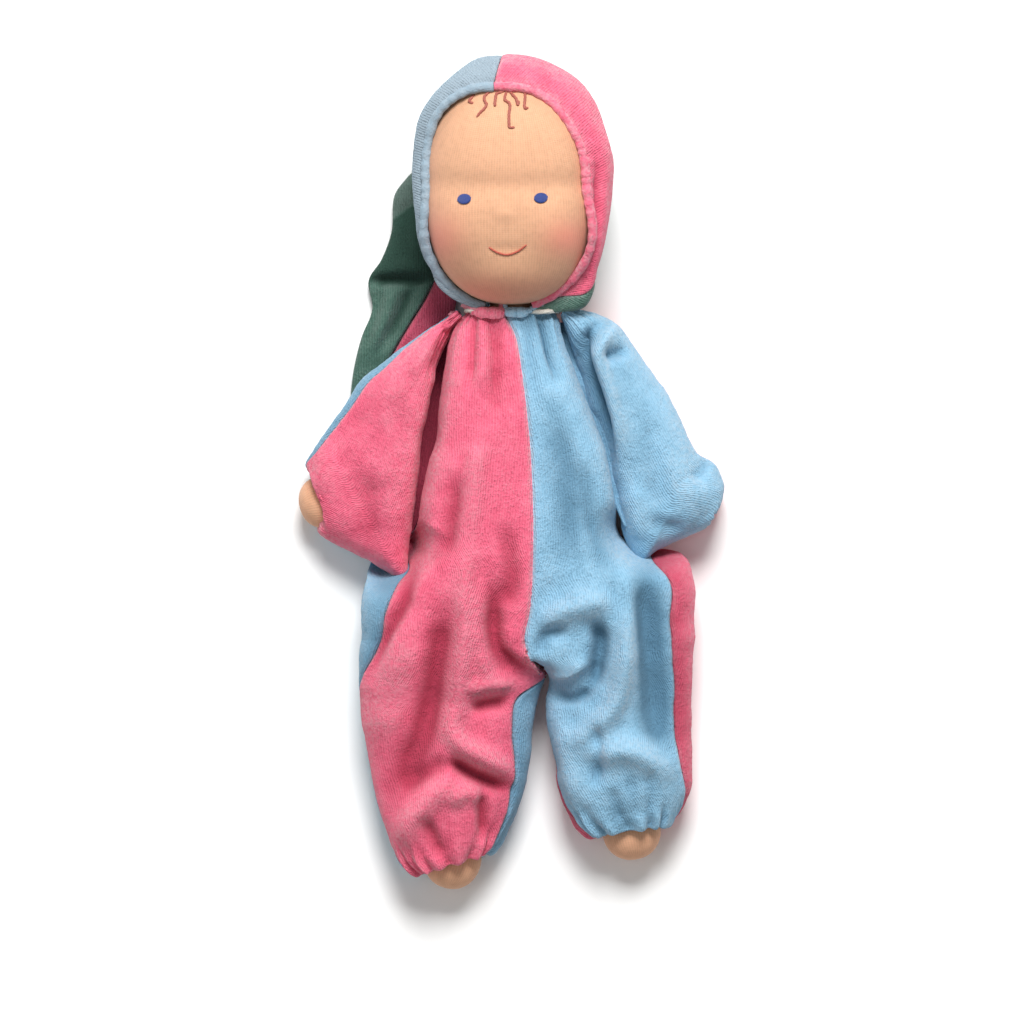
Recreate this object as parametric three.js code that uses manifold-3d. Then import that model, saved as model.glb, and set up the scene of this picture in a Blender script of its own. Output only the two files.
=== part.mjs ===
// A soft baby doll in a velour sleep suit, lying on its back, in millimetres.
// +Z points up out of the belly, +Y towards the head, +X to the doll's left, which is the viewer's right.
// Stuffed forms are lofts through flattened rings, and the cloth over them is a shell cut along its seams.
import * as THREE from "three";
import Module from "manifold-3d";

const manifold = await Module();
manifold.setup();

const cloth = { velour: 1.8, tricot: 1.0, seamGap: 0.32, seatGap: 0.35, hoodEase: 1.3, floorCut: 0.5 };

const neck = { x: 0.9, z: 29, radius: 9.8, bottomY: 61, pivotY: 74, threadRadius: 0.6, holeEase: 0.9 };

const torso = {
  topY: 70,
  length: 150.6,
  midX: 6.9,
  halfWidth: 72.2,
  depth: 50,
  ruffleHalfWidth: 20.5,
  waistHalfWidth: 18.6,
  ruffleFlare: 0.9,
  waistDrop: 2.2,
  pleatDepth: 1.5,
};
const cord = { radius: 1.0 };

const head = { x: 0.4, y: 124.8, halfWidth: 38.8, halfLength: 52, halfDepth: 37.7, hoodPuff: 2.2 };
const face = { x: -1.1, y: 119, halfWidth: 34.8, halfLength: 46.2, rollRadius: 1.9 };
const features = {
  eyeHalfWidth: 2.9,
  eyeHalfHeight: 2.3,
  leftEyeX: -19.7,
  rightEyeX: 13.1,
  eyeY: 118.6,
  padHeight: 0.8,
  mouthX: -1.4,
  mouthY: 94.2,
  mouthHalfWidth: 8.1,
  mouthSag: 3.4,
  mouthTilt: 0.8,
  mouthThreadRadius: 0.55,
  hairThreadRadius: 0.5,
  hairX: -0.6,
  hairTopY: 164.8,
  hairHalfWidth: 19.5,
  hairLength: 16.5,
  eyeLineThreadRadius: 0.4,
};

const tail = { startX: -23, startY: 133.5, reachX: 45.5, length: 118, height: 6.4, lift: 0.6 };

const leftSleeve = { x: -21.6, y: 68.2, reachX: 69.4, dropY: 117, depth: 28 };
const rightSleeve = { x: 23.4, y: 68.2, reachX: 69.5, dropY: 108.5, depth: 28 };
const sleeveClearance = 1.1;

const hip = { gap: 0.4, y: 0 };
hip.y = torso.topY - torso.length;
const leftLeg = { midX: -26, halfWidth: 39.2, length: 92.4, depth: 40 };
const rightLeg = { midX: 46.8, halfWidth: 32.4, length: 77, depth: 40 };

const leftFoot = { halfWidth: 12.4, halfDepth: 10.8, halfLength: 12.6, seat: 1, turnDegrees: -15 };
const rightFoot = { halfWidth: 12.9, halfDepth: 10.8, halfLength: 12.2, seat: 1.5, turnDegrees: 9 };
const handSize = { halfWidth: 11.1, halfDepth: 10.3, halfLength: 9 };
const leftHand = { ...handSize, x: -84, y: -11.9, z: 13, turnDegrees: -75 };
const rightHandSize = { halfWidth: 10, halfDepth: 10, halfLength: 9.4 };
const rightHand = { ...rightHandSize, x: 80.7, y: -14, z: 15, turnDegrees: 57 };
const tie = { stemRadius: 5.6, stemLength: 3.6, threadRadius: 0.55 };
const shoulder = { radius: 2.6, halfHeight: 8, z: 27, pleatShare: 0.14, pleats: 6, sink: 0.1 };

// Exponents of the sections: 2 is an ellipse, more is squarer. The body is fuller than its limbs.
const flatness = 2.2;
const bodyFlatness = 3.1;
const legFlatness = 2.5;
const headSquareness = 2.25;
const facets = {
  quarter: 5,
  foldedQuarter: 8,
  flatQuarter: 3,
  cordQuarter: 8,
  thread: 6,
  roll: 8,
  eyeLine: 5,
  neckDome: 6,
  neck: 20,
  neckTie: 24,
  headSides: 22,
  headRows: 13,
  socket: 4,
  hoodAround: 12,
  hoodGore: 3,
  hoodSide: 4,
  hoodBack: 5,
  hoodRoll: 18,
  eye: 16,
  mouth: 12,
  bulb: 18,
  bulbRows: 8,
  tie: 16,
  gatherBands: 8,
};

// The hood's seams: angles round the face from the crown, and tilts from the face's middle backwards.
const hood = {
  endDegrees: 158,
  topSeamDegrees: -3,
  goreDegrees: 134,
  sideSeamDegrees: 104,
  backDegrees: 176,
  spreadStartDegrees: 109,
  spreadEndDegrees: 155,
  backSpread: 1.09,
};

const palette = {
  velour_pink: { color: 0xe8607f, roughness: 0.95 },
  velour_blue: { color: 0x8fbfdd, roughness: 0.95 },
  velour_green: { color: 0x4c7a6c, roughness: 0.95 },
  tricot_skin: { color: 0xeec29c, roughness: 0.9 },
  wool_fill: { color: 0xefe8d8, roughness: 1 },
  thread_blue: { color: 0x2f4a96, roughness: 0.6 },
  thread_red: { color: 0xc2503f, roughness: 0.6 },
  thread_brown: { color: 0xa8604a, roughness: 0.6 },
  cord_ivory: { color: 0xe9e2d2, roughness: 0.8 },
};
const materials = Object.fromEntries(
  Object.entries(palette).map(([slot, look]) => [
    slot,
    new THREE.MeshStandardMaterial({ ...look, metalness: 0, name: slot }),
  ]),
);

const signedPower = (value, exponent) => Math.sign(value) * Math.abs(value) ** exponent;
const mix = (from, to, share) => from + (to - from) * share;
const degrees = (value) => THREE.MathUtils.degToRad(value);

// Collects triangles between shared points, drops the collapsed ones and turns the whole solid outwards.
class SolidBuilder {
  constructor() {
    this.points = [];
    this.index = new Map();
    this.triangles = [];
  }

  point(p) {
    const key = [p.x, p.y, p.z].map((c) => Math.round(c * 2000)).join();
    if (!this.index.has(key)) {
      this.index.set(key, this.points.length);
      this.points.push(p);
    }
    return this.index.get(key);
  }

  triangle(a, b, c) {
    const corners = [this.point(a), this.point(b), this.point(c)];
    if (new Set(corners).size === 3) this.triangles.push(corners);
  }

  quad(a, b, c, d) {
    if (a.distanceToSquared(c) <= b.distanceToSquared(d)) {
      this.triangle(a, b, c);
      this.triangle(a, c, d);
    } else {
      this.triangle(a, b, d);
      this.triangle(b, c, d);
    }
  }

  // A strip of quads between two rows of points.
  strip(low, high, closed = false) {
    const count = closed ? low.length : low.length - 1;
    for (let i = 0; i < count; i += 1) {
      const j = (i + 1) % low.length;
      this.quad(low[i], low[j], high[j], high[i]);
    }
  }

  fan(ring, centre, reversed) {
    ring.forEach((p, i) => {
      const q = ring[(i + 1) % ring.length];
      if (reversed) this.triangle(centre, q, p);
      else this.triangle(centre, p, q);
    });
  }

  geometry() {
    const volume = this.triangles.reduce((sum, [a, b, c]) => {
      const [p, q, r] = [this.points[a], this.points[b], this.points[c]];
      return sum + p.dot(new THREE.Vector3().crossVectors(q, r)) / 6;
    }, 0);
    const faces = volume < 0 ? this.triangles.map(([a, b, c]) => [a, c, b]) : this.triangles;
    const positions = new Float32Array(this.points.flatMap((p) => [p.x, p.y, p.z]));
    return new THREE.BufferGeometry()
      .setAttribute("position", new THREE.BufferAttribute(positions, 3))
      .setIndex(faces.flat());
  }
}

const middle = (points) =>
  points.reduce((sum, p) => sum.add(p), new THREE.Vector3()).divideScalar(points.length);

// A solid through closed rings, with a flat or pointed end at each side.
function loftSolid(rings) {
  const solid = new SolidBuilder();
  for (let i = 0; i + 1 < rings.length; i += 1) solid.strip(rings[i], rings[i + 1], true);
  solid.fan(rings[0], middle(rings[0]), true);
  solid.fan(rings.at(-1), middle(rings.at(-1)), false);
  return solid.geometry();
}

// A cloth panel: outer and inner rows of points joined along all four edges.
function panelSolid(outer, inner) {
  const solid = new SolidBuilder();
  const last = outer.length - 1;
  for (let i = 0; i < last; i += 1) {
    solid.strip(outer[i], outer[i + 1]);
    solid.strip(inner[i + 1], inner[i]);
    solid.quad(outer[i][0], outer[i + 1][0], inner[i + 1][0], inner[i][0]);
    solid.quad(outer[i + 1].at(-1), outer[i].at(-1), inner[i].at(-1), inner[i + 1].at(-1));
  }
  solid.strip(inner[0], outer[0]);
  solid.strip(outer[last], inner[last]);
  return solid.geometry();
}

// A thread: a round section with tapering radius carried along a path on whose points it stands.
// In a closed one each ring is turned half a facet against the last, which gives it a twisted surface.
function threadSolid(path, radii, closed = false, sides = facets.thread) {
  const count = path.length;
  const rings = path.map((p, i) => {
    const before = path[closed ? (i + count - 1) % count : Math.max(i - 1, 0)];
    const after = path[closed ? (i + 1) % count : Math.min(i + 1, count - 1)];
    const along = after.clone().sub(before).normalize();
    const up = Math.abs(along.z) > 0.9 ? new THREE.Vector3(1, 0, 0) : new THREE.Vector3(0, 0, 1);
    const across = new THREE.Vector3().crossVectors(along, up).normalize();
    up.crossVectors(across, along);
    const turn = closed && i % 2 ? 0.5 : 0;
    return Array.from({ length: sides }, (_, k) => {
      const angle = (2 * Math.PI * (k + turn)) / sides;
      return p
        .clone()
        .addScaledVector(across, radii[i] * Math.cos(angle))
        .addScaledVector(up, radii[i] * Math.sin(angle));
    });
  });
  if (!closed) return loftSolid(rings);
  const solid = new SolidBuilder();
  rings.forEach((ring, i) => {
    const next = rings[(i + 1) % count];
    const shift = i % 2 ? 1 : 0;
    ring.forEach((p, k) => {
      const following = (k + 1) % sides;
      solid.triangle(p, ring[following], next[(k + shift) % sides]);
      solid.triangle(ring[following], next[(following + shift) % sides], next[(k + shift) % sides]);
    });
  });
  return solid.geometry();
}

// A ring for threads that lie in a plane across Y: points round an oval.
function ovalPath(centre, radiusX, radiusZ, steps) {
  return Array.from({ length: steps }, (_, k) => {
    const angle = (2 * Math.PI * k) / steps;
    return new THREE.Vector3(
      centre.x + radiusX * Math.cos(angle),
      centre.y,
      centre.z + radiusZ * Math.sin(angle),
    );
  });
}

function named(name, slot, geometry) {
  const mesh = new THREE.Mesh(geometry, materials[slot]);
  mesh.name = name;
  return mesh;
}

// The main folds of the suit's front: the points of each in plan, its width and its height.
// A fold is a bell across the nearest stretch between its points, and fades towards both ends.
const folds = [
  { points: [[-18.1, -36], [-22, -78.4], [-24.2, -104.3], [-26.3, -113.8]], width: 6.5, height: 2.6 },
  { points: [[-26.3, -113.8], [-12.9, -122.5], [0, -128.5]], width: 5.5, height: 3 },
  { points: [[-26.1, -121.8], [-15.3, -129], [0.9, -134.4]], width: 4.5, height: -3.4 },
  { points: [[-5.6, -44], [-6.9, -71], [-2.6, -78.8]], width: 5.5, height: -4.6 },
  { points: [[-25.9, -71.9], [-33.7, -104.3], [-47.2, -130.7], [-55.7, -147.8]], width: 8, height: -3 },
  { points: [[-25.9, -129], [-41.9, -146.2], [-48.4, -158.8]], width: 6.5, height: 2.2 },
  { points: [[-40.1, -60.8], [-50.1, -95.8], [-55.1, -125.8]], width: 9, height: 1.8 },
  { points: [[16.5, -64.8], [24.2, -57.9], [40.1, -57.9]], width: 7, height: 3 },
  { points: [[36.5, -65.5], [38.3, -78.4], [36.1, -88.8]], width: 4.5, height: -3.6 },
  {
    points: [[52.3, -44.8], [51, -78.4], [45.8, -100.4], [35.5, -109.5], [26.3, -116.1]],
    width: 5.5,
    height: 3,
  },
  { points: [[57.2, -42.8], [61.4, -71.9], [62.9, -97.8], [64.6, -118.3]], width: 8, height: -6.2 },
  { points: [[36.1, -122.3], [51.9, -124.9], [70.3, -136.7]], width: 7, height: 2.8 },
];
const foldFade = 0.25;

function foldLift(x, y) {
  return folds.reduce((sum, fold) => {
    const last = fold.points.length - 1;
    let nearest = Infinity;
    let along = 0;
    for (let i = 0; i < last; i += 1) {
      const [[ax, ay], [bx, by]] = [fold.points[i], fold.points[i + 1]];
      const length2 = (bx - ax) ** 2 + (by - ay) ** 2;
      const t = THREE.MathUtils.clamp(((x - ax) * (bx - ax) + (y - ay) * (by - ay)) / length2, 0, 1);
      const distance = Math.hypot(x - mix(ax, bx, t), y - mix(ay, by, t));
      if (distance < nearest) [nearest, along] = [distance, (i + t) / last];
    }
    const fade = THREE.MathUtils.smoothstep(Math.min(along, 1 - along) / foldFade, -0.15, 0.85);
    return sum + fold.height * fade * Math.exp(-((nearest / fold.width) ** 2));
  }, 0);
}

// Rows of a stuffed form. A row has its side points in plan, its lowest and highest Z and its pleat depth.
// Its ring runs from the right seam over the front to the left seam and back under, in four quarters.
function rowRing(row, inset) {
  const centreX = (row.left[0] + row.right[0]) / 2;
  const centreY = (row.left[1] + row.right[1]) / 2;
  const acrossX = row.right[0] - centreX;
  const acrossY = row.right[1] - centreY;
  const halfWidth = Math.hypot(acrossX, acrossY);
  const halfDepth = (row.high - row.low) / 2;
  const seams = row.seamAngles ?? [0, Math.PI / 2, Math.PI, 1.5 * Math.PI];
  const exponent = 2 / (row.flatness ?? flatness);
  const ring = [];
  for (let quarter = 0; quarter < 4; quarter += 1) {
    const steps = quarterSteps(row, quarter);
    const from = seams[quarter];
    const to = quarter === 3 ? seams[0] + 2 * Math.PI : seams[quarter + 1];
    for (let step = 0; step < steps; step += 1) {
      const angle = mix(from, to, step / steps);
      const pleat = step % 2 ? (row.pleat ?? 0) : 0;
      const share = signedPower(Math.cos(angle), exponent);
      const u = (share * (halfWidth - inset - pleat)) / halfWidth;
      const w = signedPower(Math.sin(angle), exponent) * (halfDepth - inset - pleat);
      const facing = Math.max(0, Math.sin(angle)) ** 0.6;
      const lift = row.folded ? facing * foldLift(centreX + acrossX * share, centreY + acrossY * share) : 0;
      const z = Math.max((row.low + row.high) / 2 + w + lift, inset);
      ring.push(new THREE.Vector3(centreX + acrossX * u, centreY + acrossY * u, z));
    }
  }
  return ring;
}

// How many steps a quarter of a row's ring has: more on the folded front than on the back.
function quarterSteps(row, quarter) {
  if (row.steps) return row.steps;
  return row.folded && quarter < 2 ? facets.foldedQuarter : facets.quarter;
}

// The angle on a row's ring at a place across it, from -1 at the left side to 1 at the right.
const frontAngleAt = (acrossShare, exponent) => Math.acos(signedPower(acrossShare, exponent / 2));

// One cloth panel of a stuffed form: quarters from first to last, cut back by half a seam gap at each seam.
function clothPanel(rows, firstQuarter, lastQuarter) {
  const before = (quarter) => {
    let count = 0;
    for (let q = 0; q < quarter; q += 1) count += quarterSteps(rows[0], q);
    return count;
  };
  const from = before(firstQuarter);
  const to = before(lastQuarter + 1);
  const layer = (inset) =>
    rows.map((row) => {
      const ring = rowRing(row, inset);
      const part = [];
      for (let i = from; i <= to; i += 1) part.push(ring[i % ring.length].clone());
      const trim = (end, next) => {
        const step = next.clone().sub(end);
        end.addScaledVector(step.normalize(), cloth.seamGap / 2);
      };
      trim(part[0], part[1]);
      trim(part.at(-1), part.at(-2));
      return part;
    });
  return panelSolid(layer(0), layer(cloth.velour));
}

const stuffing = (rows) => loftSolid(rows.map((row) => rowRing(row, cloth.velour + cloth.seatGap)));

// The torso's rows, from the ruffle at the neck to the hips.
// Each has its share of the length, its sides in half widths and its heights as shares of the depth.
const torsoShares = [
  [0.035, -0.395, 0.209, 0.31, 0.85],
  [0.07, -0.449, 0.222, 0.17, 0.91],
  [0.139, -0.472, 0.258, 0.04, 0.96],
  [0.254, -0.508, 0.348, -0.03, 0.99],
  [0.398, -0.557, 0.461, -0.03, 1],
  [0.541, -0.629, 0.521, -0.03, 1],
  [0.65, -0.688, 0.575, -0.03, 0.992],
  [0.71, -0.702, 0.6, -0.03, 0.988],
  [0.757, -0.702, 0.635, -0.03, 0.984],
  [0.81, -0.8, 0.82, -0.03, 0.976],
  [0.855, -0.927, 0.957, -0.03, 0.964],
  [0.9, -0.975, 1, -0.03, 0.948],
  [0.95, -1, 1.003, -0.03, 0.924],
  [1, -1, 1, -0.03, 0.9],
];
const frontSeamShares = [-0.08, -0.02, 0.03, 0.13, 0.17, 0.2, 0.2, 0.2, 0.19, 0.18, 0.16, 0.13, 0.1, 0.08];
const collarHalfDepth = neck.radius + cloth.seatGap + cloth.velour;
const roundRows = 2; // of the torso's rows, counted from the neck, as many have the neck's rounder section
const torsoRows = torsoShares.map(([along, left, right, low, high], i) => {
  const y = torso.topY - along * torso.length;
  const row = {
    left: [torso.midX + left * torso.halfWidth, y],
    right: [torso.midX + right * torso.halfWidth, y],
    low: low * torso.depth,
    high: high * torso.depth,
    pleat: i < 3 ? (torso.pleatDepth * (3 - i)) / 4 : 0,
    flatness: i < roundRows ? flatness : bodyFlatness,
    folded: true,
  };
  const front = frontAngleAt((2 * (frontSeamShares[i] - left)) / (right - left) - 1, row.flatness);
  row.seamAngles = [0, front, Math.PI, 1.5 * Math.PI];
  return row;
});
const collarRow = (y, halfWidth, halfDepth) => ({
  left: [neck.x - halfWidth, y],
  right: [neck.x + halfWidth, y],
  low: neck.z - halfDepth,
  high: neck.z + halfDepth,
  folded: true,
});
const waistY = torso.topY - torso.waistDrop;
const collarRows = [
  collarRow(torso.topY, torso.ruffleHalfWidth, collarHalfDepth + torso.ruffleFlare),
  collarRow(waistY + cord.radius, torso.waistHalfWidth, collarHalfDepth),
  collarRow(waistY - cord.radius, torso.waistHalfWidth, collarHalfDepth),
];
const suitRows = [...collarRows, ...torsoRows];

// Where the torso's side lies in plan at a height, between its rows.
function torsoSideX(y, side) {
  const rows = suitRows;
  const next = Math.max(1, rows.findIndex((row) => row[side][1] <= y));
  const [above, below] = [rows[next - 1][side], rows[next][side]];
  return mix(above[0], below[0], (above[1] - y) / (above[1] - below[1]));
}

const torsoGroup = new THREE.Group();
torsoGroup.add(
  named("torso_stuffing", "wool_fill", stuffing(torsoRows.slice(1))),
  named("suit_front_right", "velour_blue", clothPanel(suitRows, 0, 0)),
  named("suit_front_left", "velour_pink", clothPanel(suitRows, 1, 1)),
  named("suit_back_left", "velour_blue", clothPanel(suitRows, 2, 2)),
  named("suit_back_right", "velour_pink", clothPanel(suitRows, 3, 3)),
);
const cordOffset = cloth.seatGap + cord.radius;
const cordLine = collarRow(waistY, torso.waistHalfWidth + cordOffset, collarHalfDepth + cordOffset);
const cordPath = rowRing({ ...cordLine, steps: facets.cordQuarter }, 0);
const cordSolid = threadSolid(cordPath, cordPath.map(() => cord.radius), true);
torsoGroup.add(named("neck_cord", "cord_ivory", cordSolid));

// The neck: a stuffed stub whose round top is the ball that the head turns and nods on.
function neckStub() {
  const bevel = neck.radius / 6;
  const profile = [
    new THREE.Vector2(0, neck.bottomY),
    new THREE.Vector2(neck.radius - bevel, neck.bottomY),
    new THREE.Vector2(neck.radius, neck.bottomY + bevel),
  ];
  for (let k = 0; k <= facets.neckDome; k += 1) {
    const angle = (Math.PI / 2) * (k / facets.neckDome);
    const [reach, rise] = [neck.radius * Math.cos(angle), neck.radius * Math.sin(angle)];
    profile.push(new THREE.Vector2(reach, neck.pivotY + rise));
  }
  profile.at(-1).x = 0;
  return revolve(profile, facets.neck);
}

// Turns a profile of radius and height round the Y axis.
function revolve(profile, sides) {
  const solid = new SolidBuilder();
  const rings = profile.map((p) =>
    Array.from({ length: sides }, (_, k) => {
      const angle = (2 * Math.PI * k) / sides;
      return new THREE.Vector3(p.x * Math.cos(angle), p.y, p.x * Math.sin(angle));
    }),
  );
  for (let i = 0; i + 1 < rings.length; i += 1) solid.strip(rings[i], rings[i + 1], true);
  return solid.geometry();
}

const neckGroup = new THREE.Group();
neckGroup.position.set(neck.x, 0, neck.z);
const neckTieRadius = neck.radius + cloth.seatGap + neck.threadRadius;
const neckTieY = torso.topY + cloth.seatGap + neck.threadRadius;
const neckTiePath = ovalPath({ x: 0, y: neckTieY, z: 0 }, neckTieRadius, neckTieRadius, facets.neckTie);
neckGroup.add(
  named("neck_stub", "tricot_skin", neckStub()),
  named("neck_tie", "cord_ivory", threadSolid(neckTiePath, neckTiePath.map(() => neck.threadRadius), true)),
);

// The head: a slightly squared ball. A layer's outset is how far it lies outside the skin's own surface.
const hoodOutset = cloth.hoodEase + cloth.velour;
const headZ = head.halfDepth + hoodOutset - cloth.floorCut;
const headCentre = new THREE.Vector3(head.x, head.y, headZ);

function headPoint(direction, outset, puff = 0) {
  const [dx, dy, dz] = [direction.x, direction.y, direction.z];
  const reach =
    Math.abs(dx / (head.halfWidth + outset)) ** headSquareness +
    Math.abs(dy / (head.halfLength + outset)) ** headSquareness +
    Math.abs(dz / (head.halfDepth + outset)) ** headSquareness;
  const radius = reach ** (-1 / headSquareness) + puff * Math.max(0, dx) ** 2;
  const p = headCentre.clone().addScaledVector(direction, radius);
  p.z = Math.max(p.z, hoodOutset - outset);
  return p;
}

// The point of the head's front above a place in plan.
function onFace(x, y, outset) {
  const rest =
    1 -
    Math.abs((x - head.x) / (head.halfWidth + outset)) ** headSquareness -
    Math.abs((y - head.y) / (head.halfLength + outset)) ** headSquareness;
  const z = headZ + (head.halfDepth + outset) * Math.max(rest, 0) ** (1 / headSquareness);
  return new THREE.Vector3(x, y, z);
}

// The axis from the middle of the head to the neck's pivot, which the skin's rows run round.
const neckDirection = new THREE.Vector3(neck.x, neck.pivotY, neck.z).sub(headCentre).normalize();
const poleFrame = new THREE.Quaternion().setFromUnitVectors(new THREE.Vector3(0, -1, 0), neckDirection);

function headRing(polar, sides, outset) {
  return Array.from({ length: sides }, (_, k) => {
    const angle = (2 * Math.PI * k) / sides;
    const direction = new THREE.Vector3(
      Math.sin(polar) * Math.sin(angle),
      Math.cos(polar),
      Math.sin(polar) * Math.cos(angle),
    );
    return headPoint(direction.applyQuaternion(poleFrame), outset);
  });
}

const neckHole = (neck.radius + neck.holeEase) / (head.halfLength - cloth.tricot);

function skinShell() {
  const solid = new SolidBuilder();
  const polarAt = (i) => mix(0, Math.PI - Math.atan(neckHole), i / facets.headRows);
  const layer = (outset) =>
    Array.from({ length: facets.headRows }, (_, i) => headRing(polarAt(i + 1), facets.headSides, outset));
  const [outer, inner] = [layer(0), layer(-cloth.tricot)];
  const crown = new THREE.Vector3(0, 1, 0).applyQuaternion(poleFrame);
  solid.fan(outer[0], headPoint(crown, 0), true);
  solid.fan(inner[0], headPoint(crown, -cloth.tricot), false);
  for (let i = 0; i + 1 < facets.headRows; i += 1) {
    solid.strip(outer[i], outer[i + 1], true);
    solid.strip(inner[i + 1], inner[i], true);
  }
  solid.strip(outer.at(-1), inner.at(-1), true);
  return solid.geometry();
}

const coreOutset = -(cloth.tricot + 2 * cloth.seatGap + 2 * features.eyeLineThreadRadius);

function asManifold(geometry) {
  return new manifold.Manifold(
    new manifold.Mesh({
      numProp: 3,
      vertProperties: new Float32Array(geometry.getAttribute("position").array),
      triVerts: new Uint32Array(geometry.getIndex().array),
    }),
  );
}

function fromManifold(solid) {
  const mesh = solid.getMesh();
  return new THREE.BufferGeometry()
    .setAttribute("position", new THREE.BufferAttribute(mesh.vertProperties, 3))
    .setIndex(new THREE.BufferAttribute(mesh.triVerts, 1));
}

// The wool ball, hollowed below for the neck's round top.
function woolCore() {
  const solid = new SolidBuilder();
  const rings = Array.from({ length: facets.headRows - 1 }, (_, i) =>
    headRing((Math.PI * (i + 1)) / facets.headRows, facets.headSides, coreOutset),
  );
  const crown = new THREE.Vector3(0, 1, 0).applyQuaternion(poleFrame);
  solid.fan(rings[0], headPoint(crown, coreOutset), true);
  for (let i = 0; i + 1 < rings.length; i += 1) solid.strip(rings[i], rings[i + 1], true);
  solid.fan(rings.at(-1), headPoint(crown.clone().negate(), coreOutset), false);
  const socket = new THREE.IcosahedronGeometry(neck.radius + 2 * cloth.seatGap, facets.socket);
  socket.translate(neck.x, neck.pivotY, neck.z);
  const ball = new SolidBuilder();
  const corners = socket.getAttribute("position");
  for (let i = 0; i < corners.count; i += 3) {
    const corner = (k) => new THREE.Vector3().fromBufferAttribute(corners, i + k);
    ball.triangle(corner(0), corner(1), corner(2));
  }
  return fromManifold(asManifold(solid.geometry()).subtract(asManifold(ball.geometry())));
}

// The edge of the face opening, widened by a margin, at an angle from the crown clockwise.
function faceEdge(angle, margin) {
  return {
    x: face.x + (face.halfWidth + margin) * signedPower(Math.sin(angle), 2 / flatness),
    y: face.y + (face.halfLength + margin) * signedPower(Math.cos(angle), 2 / flatness),
  };
}

const seamTurn = cloth.seamGap / head.halfLength;
const topSeam = degrees(hood.topSeamDegrees);
const goreStart = degrees(hood.goreDegrees);
const hoodEnd = degrees(hood.endDegrees);
const sideSeam = degrees(hood.sideSeamDegrees);
const backPole = degrees(hood.backDegrees);
const spreadStart = degrees(hood.spreadStartDegrees);
const spreadEnd = degrees(hood.spreadEndDegrees);

// A hood quarter: from the face opening or the side seam, round the head to where the next piece starts.
function hoodPanel({ fromAngle, toAngle, steps, startTilt, endTilt, rows }) {
  const layer = (outset) =>
    Array.from({ length: rows + 1 }, (_, j) =>
      Array.from({ length: steps + 1 }, (_, i) => {
        const edge = faceEdge(mix(fromAngle, toAngle, i / steps), 2 * face.rollRadius + cloth.seatGap);
        const start = onFace(edge.x, edge.y, 0).sub(headCentre).normalize();
        const azimuth = Math.atan2(start.x, start.y);
        const tilt = mix(startTilt ?? Math.acos(start.z), endTilt, j / rows);
        const spread = mix(1, hood.backSpread, THREE.MathUtils.smoothstep(tilt, spreadStart, spreadEnd));
        const around = azimuth * spread;
        const direction = new THREE.Vector3(
          Math.sin(tilt) * Math.sin(around),
          Math.sin(tilt) * Math.cos(around),
          Math.cos(tilt),
        );
        return headPoint(direction, outset, head.hoodPuff);
      }),
    );
  return panelSolid(layer(hoodOutset), layer(cloth.hoodEase));
}

// A rolled hem along the face opening, between two angles.
function hoodRoll(fromAngle, toAngle, steps) {
  const path = Array.from({ length: steps + 1 }, (_, i) => {
    const edge = faceEdge(mix(fromAngle, toAngle, i / steps), face.rollRadius);
    return onFace(edge.x, edge.y, cloth.seatGap + face.rollRadius);
  });
  return threadSolid(path, path.map(() => face.rollRadius), false, facets.roll);
}

// A satin-stitched eye: a low oval pad that follows the face.
function eyePad(x, y) {
  const solid = new SolidBuilder();
  const sides = facets.eye;
  const ring = (share, outset) =>
    Array.from({ length: sides }, (_, k) => {
      const angle = (2 * Math.PI * k) / sides;
      const px = x + share * features.eyeHalfWidth * Math.cos(angle);
      const py = y + share * features.eyeHalfHeight * Math.sin(angle);
      return onFace(px, py, outset);
    });
  const [foot, crown] = [cloth.seatGap, cloth.seatGap + features.padHeight];
  const rimShare = 0.8;
  const brow = mix(foot, crown, 0.4);
  solid.fan(ring(1, foot), onFace(x, y, foot), true);
  solid.strip(ring(1, foot), ring(1, brow), true);
  solid.strip(ring(1, brow), ring(rimShare, crown), true);
  solid.fan(ring(rimShare, crown), onFace(x, y, crown), false);
  return solid.geometry();
}

// A stitched line on the face through points in plan, thinner at its ends.
function stitchedLine(points, radius, endShare) {
  const last = points.length - 1;
  const radii = points.map((_, i) => radius * mix(endShare, 1, Math.sin((Math.PI * i) / last) ** 0.5));
  const path = points.map(([x, y], i) => onFace(x, y, cloth.seatGap + radii[i]));
  return threadSolid(path, radii);
}

function mouthPoints() {
  const steps = facets.mouth;
  return Array.from({ length: steps + 1 }, (_, i) => {
    const share = (2 * i) / steps - 1;
    return [
      features.mouthX + features.mouthHalfWidth * share,
      features.mouthY - features.mouthSag * (1 - share ** 2) + features.mouthTilt * share,
    ];
  });
}

// Hair stitches: across and down from the middle of the hairline, as shares of its half width and length.
const hairShares = {
  hair_stitch_1: [[-0.8, 0.3], [-0.87, 0.38], [-0.88, 0.46], [-0.8, 0.5]],
  hair_stitch_2: [
    [-0.38, 0.08], [-0.48, 0.13], [-0.54, 0.2], [-0.51, 0.36], [-0.56, 0.5], [-0.65, 0.62], [-0.72, 0.7],
  ],
  hair_stitch_3: [[-0.12, 0.04], [-0.24, 0.07], [-0.3, 0.14], [-0.31, 0.27], [-0.31, 0.4]],
  hair_stitch_4: [
    [-0.01, 0.06], [-0.06, 0.17], [0.03, 0.31], [0.05, 0.45],
    [0.04, 0.62], [0.03, 0.8], [0.06, 0.97], [0.15, 0.98],
  ],
  hair_stitch_5: [[0.1, 0.06], [0.17, 0.15], [0.22, 0.27], [0.2, 0.38]],
  hair_stitch_6: [[0.3, 0.05], [0.36, 0.15], [0.36, 0.32], [0.36, 0.47], [0.43, 0.51]],
};

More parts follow.
